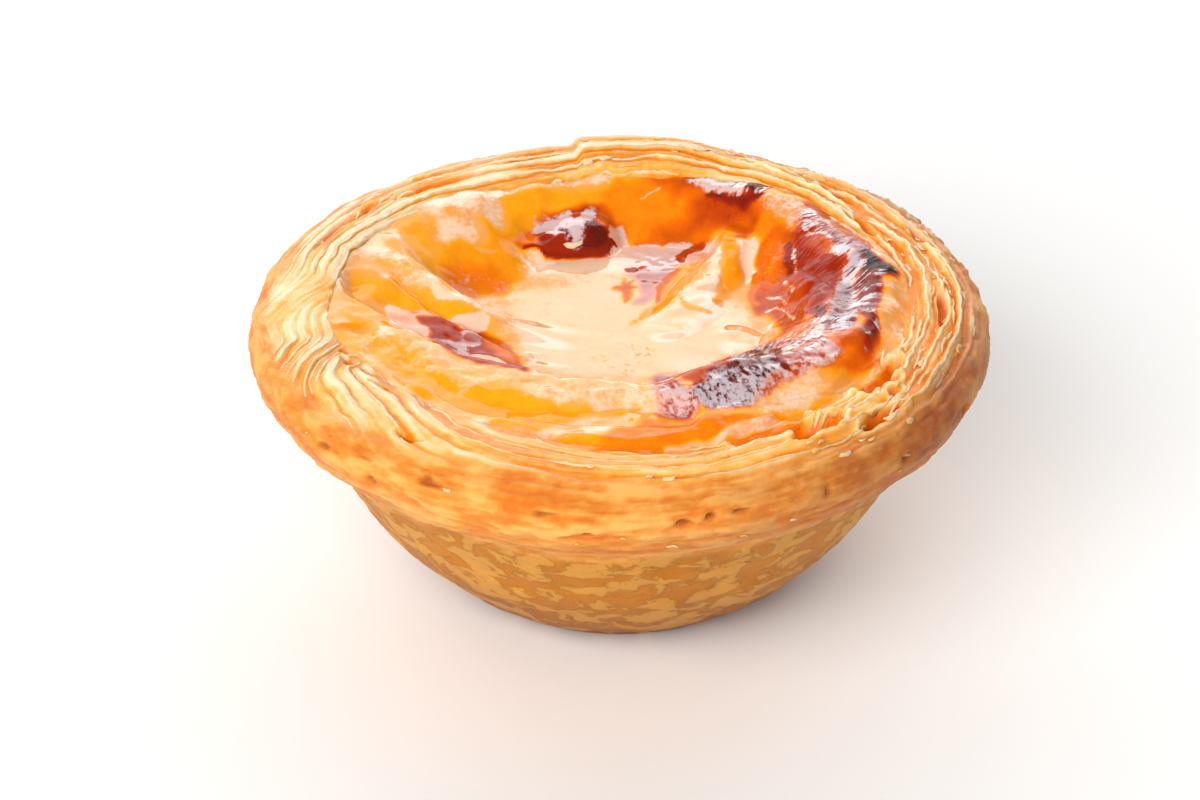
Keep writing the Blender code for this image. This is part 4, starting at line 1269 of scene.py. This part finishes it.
def pastryMaterial():
    material, tree, shader = newMaterial("flakyPastry")
    spots = useGroup(tree, ovenSpots, Size=5.0, Speck=1.1, Edge=0.2)
    uneven, fine = less(tree, spots["Patches"], 0.5), less(tree, spots["Specks"], 0.5)
    laminate = readValue(tree, "laminate")   # the fine lines that run along the sheets
    # the sheets' shade from crest to groove; the deeper orange down between them is partly painted shade
    light = add(tree, readValue(tree, "crest"), times(tree, uneven, 0.25))
    light = add(tree, light, times(tree, fine, 0.16))
    light = add(tree, light, times(tree, laminate, 0.3), clamp=True)
    streak = add(tree, readValue(tree, "streak"), times(tree, fine, 0.2))
    streak = add(tree, streak, times(tree, laminate, 0.25), clamp=True)
    sheets, lip = colourRamp(tree, light, case["sheetShades"]), colourRamp(tree, streak, case["lipShades"])
    wall, scraps = wallColour(tree)
    wallPart, hollow = readValue(tree, "wallPart"), readValue(tree, "hollow")
    colour = mixColours(tree, readValue(tree, "lip"), sheets, lip)
    colour = mixColours(tree, wallPart, colour, wall)
    # pockets, gaps and the lip's holes darker: partly the dough's colour, partly painted shade
    colour = mixColours(tree, hollow, colour, case["hollow"])
    colour = mixColours(tree, readValue(tree, "pit"), colour, case["pit"])
    toasted = timesPlus(tree, spots["Patches"], 0.6, 0.42)
    toasted = times(tree, readValue(tree, "browned"), toasted, clamp=True)
    feed(tree, shader.inputs["Base Color"], mixColours(tree, toasted, colour, case["toast"]))
    gloss = less(tree, 0.5, times(tree, readValue(tree, "top"), 0.16))
    feed(tree, shader.inputs["Roughness"], less(tree, gloss, times(tree, hollow, 0.12)))
    shader.inputs["IOR"].default_value = 1.5
    shader.inputs["Specular IOR Level"].default_value = 0.22
    shader.inputs["Subsurface Weight"].default_value = 0.45
    shader.inputs["Subsurface Radius"].default_value = (1.0, 0.6, 0.3)
    shader.inputs["Subsurface Scale"].default_value = 1.2 * mm
    grain = useGroup(tree, doughGrain, Size=1.1, Pits=0.35)["Height"]
    lifted = times(tree, scraps, wallPart)
    addBump(tree, shader, add(tree, grain, times(tree, lifted, 1.4)), 0.8, 0.2)
    return material


flakyPastry = pastryMaterial()
casePiece, caseSkin = shapeCase(flakyPastry)
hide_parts("crust")
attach(casePiece, "root")
print("pastry case is shaped:", len(casePiece.data.polygons), "faces")


# the thin frayed edges of the rolled sheets, standing along the crests of the case

ribbons = {
    "finer": 2,               # steps along for each column of the case
    "height": (0.06, 0.7),    # where the sheets lie tight, and where they stand apart
    "thick": 0.36, "tip": 0.12, "foot": 0.7,
    "fray": 0.4,
    "levels": (0.68, 0.25),   # where along each sheet they stand; the second is lower and more broken
    "shortest": 8,            # steps in the shortest one
    "tallest": 32.0,
}


def sheetLine(level, skin):
    # where a sheet's crest crosses each column of the case: across, radius, height and hollow
    top = skin["across"][:, 0] > 0.0
    run = skin["run"][top]
    rows = [skin[label][top] for label in ("across", "radius", "height", "hollow")]
    return np.array([[np.interp(level[k], run[:, k], row[:, k], left=np.nan, right=np.nan) for row in rows]
                     for k in range(len(level))])


def ribbonStrength(angle, where, follow, second):
    # 0 where the sheet is torn away, folded under or hollow
    strength = ease(-0.55, 0.05, lumps(where, 7.0, 61) + 0.35 * lumps(where, 2.4, 62))
    if second:
        strength = ease(0.0, 0.3, lumps(where, 3.4, 68)) * ease(0.3, 0.8, openness(angle))
    across, hollow = follow[:, 0], follow[:, 3]
    lip = lipShare(angle)
    strength = strength * ease(lip, lip + 0.14, across) * (1 - ease(0.05, 0.5, hollow))
    return np.where(np.isnan(across), 0, strength * (1 - between(angle, *case["folded"])))


def ribbonSection(angle, spot, follow, strength, second):
    # six points round the sheet's edge at each step along it
    _, radius, height, _ = follow.T
    turn = np.radians(angle)
    steps = np.arange(len(angle))
    ends = ease(0, 5, np.minimum(steps, steps[::-1]))
    apart = openness(angle) ** 1.5
    tall = blend(*ribbons["height"], apart) * (0.6 + 0.5 * lumps(spot, 4.0, 63)) * (0.5 if second else 1.0)
    tall = tall + ribbons["fray"] * (0.3 + 0.7 * apart) * roughLumps(spot, 1.1, 3, 64, 0.6)
    tall = np.maximum(tall, 0.05) * strength * ends
    lean = 0.35 * lumps(spot, 5.0, 66) + 0.2 * lumps(spot, 1.3, 67)
    rim = np.minimum(height + tall, ribbons["tallest"])
    half, tip = ribbons["thick"] / 2, ribbons["tip"] / 2
    foot, waist = height - ribbons["foot"], height + 0.3 * tall
    rings = ((half, foot, 0.0), (half, waist, 0.3), (tip, rim, 1.0), (-tip, rim - 0.05, 1.0),
             (-half, waist, 0.3), (-half, foot, 0.0))
    section = []
    for side, z, curl in rings:
        r = radius + side + lean * curl * tall
        section.append(stacked(r * np.cos(turn), r * np.sin(turn), z))
    return np.stack(section, 1)


def shapeRibbons(material, skin):
    columns, finer, levels = skin["degrees"], ribbons["finer"], ribbons["levels"]
    size = len(columns) * finer
    fine = np.arange(size) / finer
    column = np.floor(fine).astype(int)
    share = (fine - column)[:, None]
    after = (column + 1) % len(columns)
    angle = columns[0] + np.arange(size) * 360 / size
    run = skin["run"][skin["across"][:, 0] > 0.0]
    points, faces, tips, browned, start = [], [], [], [], 0
    for number, part in [(n, p) for n in range(int(run.min()), int(run.max()) + 1) for p in levels]:
        second = part != levels[0]
        closer = 0.0 if second else 0.18 * (1 - openness(columns))
        line = sheetLine(np.broadcast_to(number + part + closer, columns.shape), skin)
        follow = line[column] * (1 - share) + line[after] * share
        where = stacked(angle * 0.6, (number + part) * 9.0, 0.0)
        strength = ribbonStrength(angle, where, follow, second)
        whole = np.flatnonzero(strength > 0.02)
        for stretch in np.split(whole, np.flatnonzero(np.diff(whole) > 1) + 1):
            if len(stretch) < ribbons["shortest"]:
                continue
            section = ribbonSection(*(row[stretch] for row in (angle, where, follow, strength)), second)
            count = section.shape[1]
            points.append(section.reshape(-1, 3))
            tips.append(np.tile([0.1, 0.5, 1.0, 1.0, 0.5, 0.1], len(stretch)))
            baked = browning(angle[stretch]) * ease(0.6, 0.0, follow[stretch, 0])
            browned.append(np.repeat(baked, count))
            faces.append(ringFaces(len(stretch), count, start)[:, ::-1])
            last = start + (len(stretch) - 1) * count
            for first, turned in ((start, 1), (last, -1)):
                cap = first + np.array([(0, 1, 5), (1, 4, 5), (1, 2, 4), (2, 3, 4)])
                faces.append(cap[:, ::turned])
            start += count * len(stretch)
    points, tips = np.concatenate(points), np.concatenate(tips)
    # paler at each sheet's tip, darker towards its foot between the sheets: painted shade; paler on the
    # right: painted light
    warmthAndPaintedLight = readRound(case["warmthAndPaintedLight"], np.degrees(np.arctan2(points[:, 1], points[:, 0])))[0]
    values = {"crest": (0.45 + 0.45 * tips) * (1 - 0.45 * warmthAndPaintedLight), "browned": np.concatenate(browned) * 0.9,
              "top": np.ones(len(tips)), "laminate": roughLumps(points, 1.2, 2, 69)}
    return makeMesh("frayedSheets", points, np.concatenate(faces), values, material)


ribbonPiece = shapeRibbons(flakyPastry, caseSkin)
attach(ribbonPiece, "root")
print("sheet edges are shaped:", len(ribbonPiece.data.polygons), "faces")


# small scraps of pastry that have come loose along the rim and the lip, and one on the custard

flakes = {
    "corners": 11, "thick": 0.05, "stretch": 2.4,
    # from, to in degrees, place from -1 (foot of the lip) through 0 (lip) to 1 (custard), how many, size
    # from, to, how far they stand up
    "zones": (
        (-62, 100, 0.1, 0.95, 60, 0.3, 0.9, 0.5), (-110, -60, 0.3, 0.9, 8, 0.3, 0.6, 0.2),
        (-150, -25, -0.9, -0.1, 9, 0.2, 0.45, 0.05),
    ),
    "onCustard": (-4.8, 19.0, 0.5),   # x, y, size
    "lipRows": 21, "edgeRows": 4,     # rows of the case in the lip, and rows left free at the custard
}


def flakeShape(centre, east, north, up, size, stand, seed):
    # one thin curled scrap, as points and faces
    corners, thick = flakes["corners"], flakes["thick"]
    k = np.arange(corners)
    turn = k * 2 * math.pi / corners
    reach = size * (0.45 + 0.6 * chance(stacked(k, seed, 0), 71))
    a, b = reach * np.cos(turn) * flakes["stretch"], reach * np.sin(turn)
    rise = b * math.sin(stand) + 0.12 * a * a / size
    a, b, rise = (np.append(v, 0.0)[:, None] for v in (a, b * math.cos(stand), rise))
    middle = centre + a * east + b * north + rise * up
    after = (k + 1) % corners
    low = corners + 1
    faces = [stacked(k, after, corners), stacked(after + low, k + low, 2 * low - 1),
             stacked(k + low, after + low, after), stacked(k + low, after, k)]
    return np.concatenate([middle + thick * up, middle - thick * up]), np.concatenate(faces)


def shapeFlakes(material, skin):
    turn, count = np.radians(skin["degrees"]), len(skin["degrees"])
    surface = stacked(skin["radius"] * np.cos(turn), skin["radius"] * np.sin(turn), skin["height"])
    lipRow = np.flatnonzero(skin["across"][:, 0] <= 0)[-1]
    lastRow = len(surface) - flakes["edgeRows"]
    points, faces, pale, browned = [], [], [], []

    def keep(shape, lightness, baked):
        more, sides = shape
        faces.append(sides + sum(len(p) for p in points))
        points.append(more)
        pale.append(np.full(len(more), lightness))
        browned.append(np.full(len(more), baked))

    number = 0
    for start, end, low, high, many, small, large, stand in flakes["zones"]:
        for number in range(number + 1, number + many + 1):
            draw = chance(stacked(np.arange(6), number, 0), 70)
            angle = blend(start, end, draw[0])
            where = blend(low, high, draw[1])
            row = int(lipRow + where * ((lastRow - lipRow) if where > 0 else flakes["lipRows"]))
            column = int((angle - skin["degrees"][0]) % 360 / 360 * count) % count
            east = surface[row, (column + 2) % count] - surface[row, column - 2]
            north = surface[row + 2, column] - surface[row - 2, column]
            east, north = east / np.linalg.norm(east), north / np.linalg.norm(north)
            up = np.cross(east, north)
            up = up / np.linalg.norm(up)
            size = 0.6 * blend(small, large, draw[2] ** 2)
            shape = flakeShape(surface[row, column] + 0.1 * up, east, north, up, size,
                               stand * (draw[3] * 1.6 - 0.5), number)
            baked = browning(angle) * (0.7 if where <= 0.15 else 0.15) * draw[5]
            keep(shape, 0.45 + 0.4 * draw[4], baked)
    x, y, size = flakes["onCustard"]
    spot = np.array([x, y, skinHeight(np.array([x]), np.array([y]))[0] + 0.55])
    axes = np.array([(0.98, 0.1, 0.15), (0.0, 0.8, 0.6), (-0.1, -0.6, 0.8)])
    keep(flakeShape(spot, *axes, size, 0.0, 7), 0.8, 0.0)
    points = np.concatenate(points)
    points[:, 2] = np.minimum(points[:, 2], ribbons["tallest"])
    values = {"crest": np.concatenate(pale), "browned": np.concatenate(browned),
              "top": np.ones(len(points)), "laminate": roughLumps(points, 1.2, 2, 69)}
    return makeMesh("looseFlakes", points, np.concatenate(faces), values, material)


flakePiece = shapeFlakes(flakyPastry, caseSkin)
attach(flakePiece, "root")
print("loose flakes are shaped:", len(flakePiece.data.polygons), "faces")
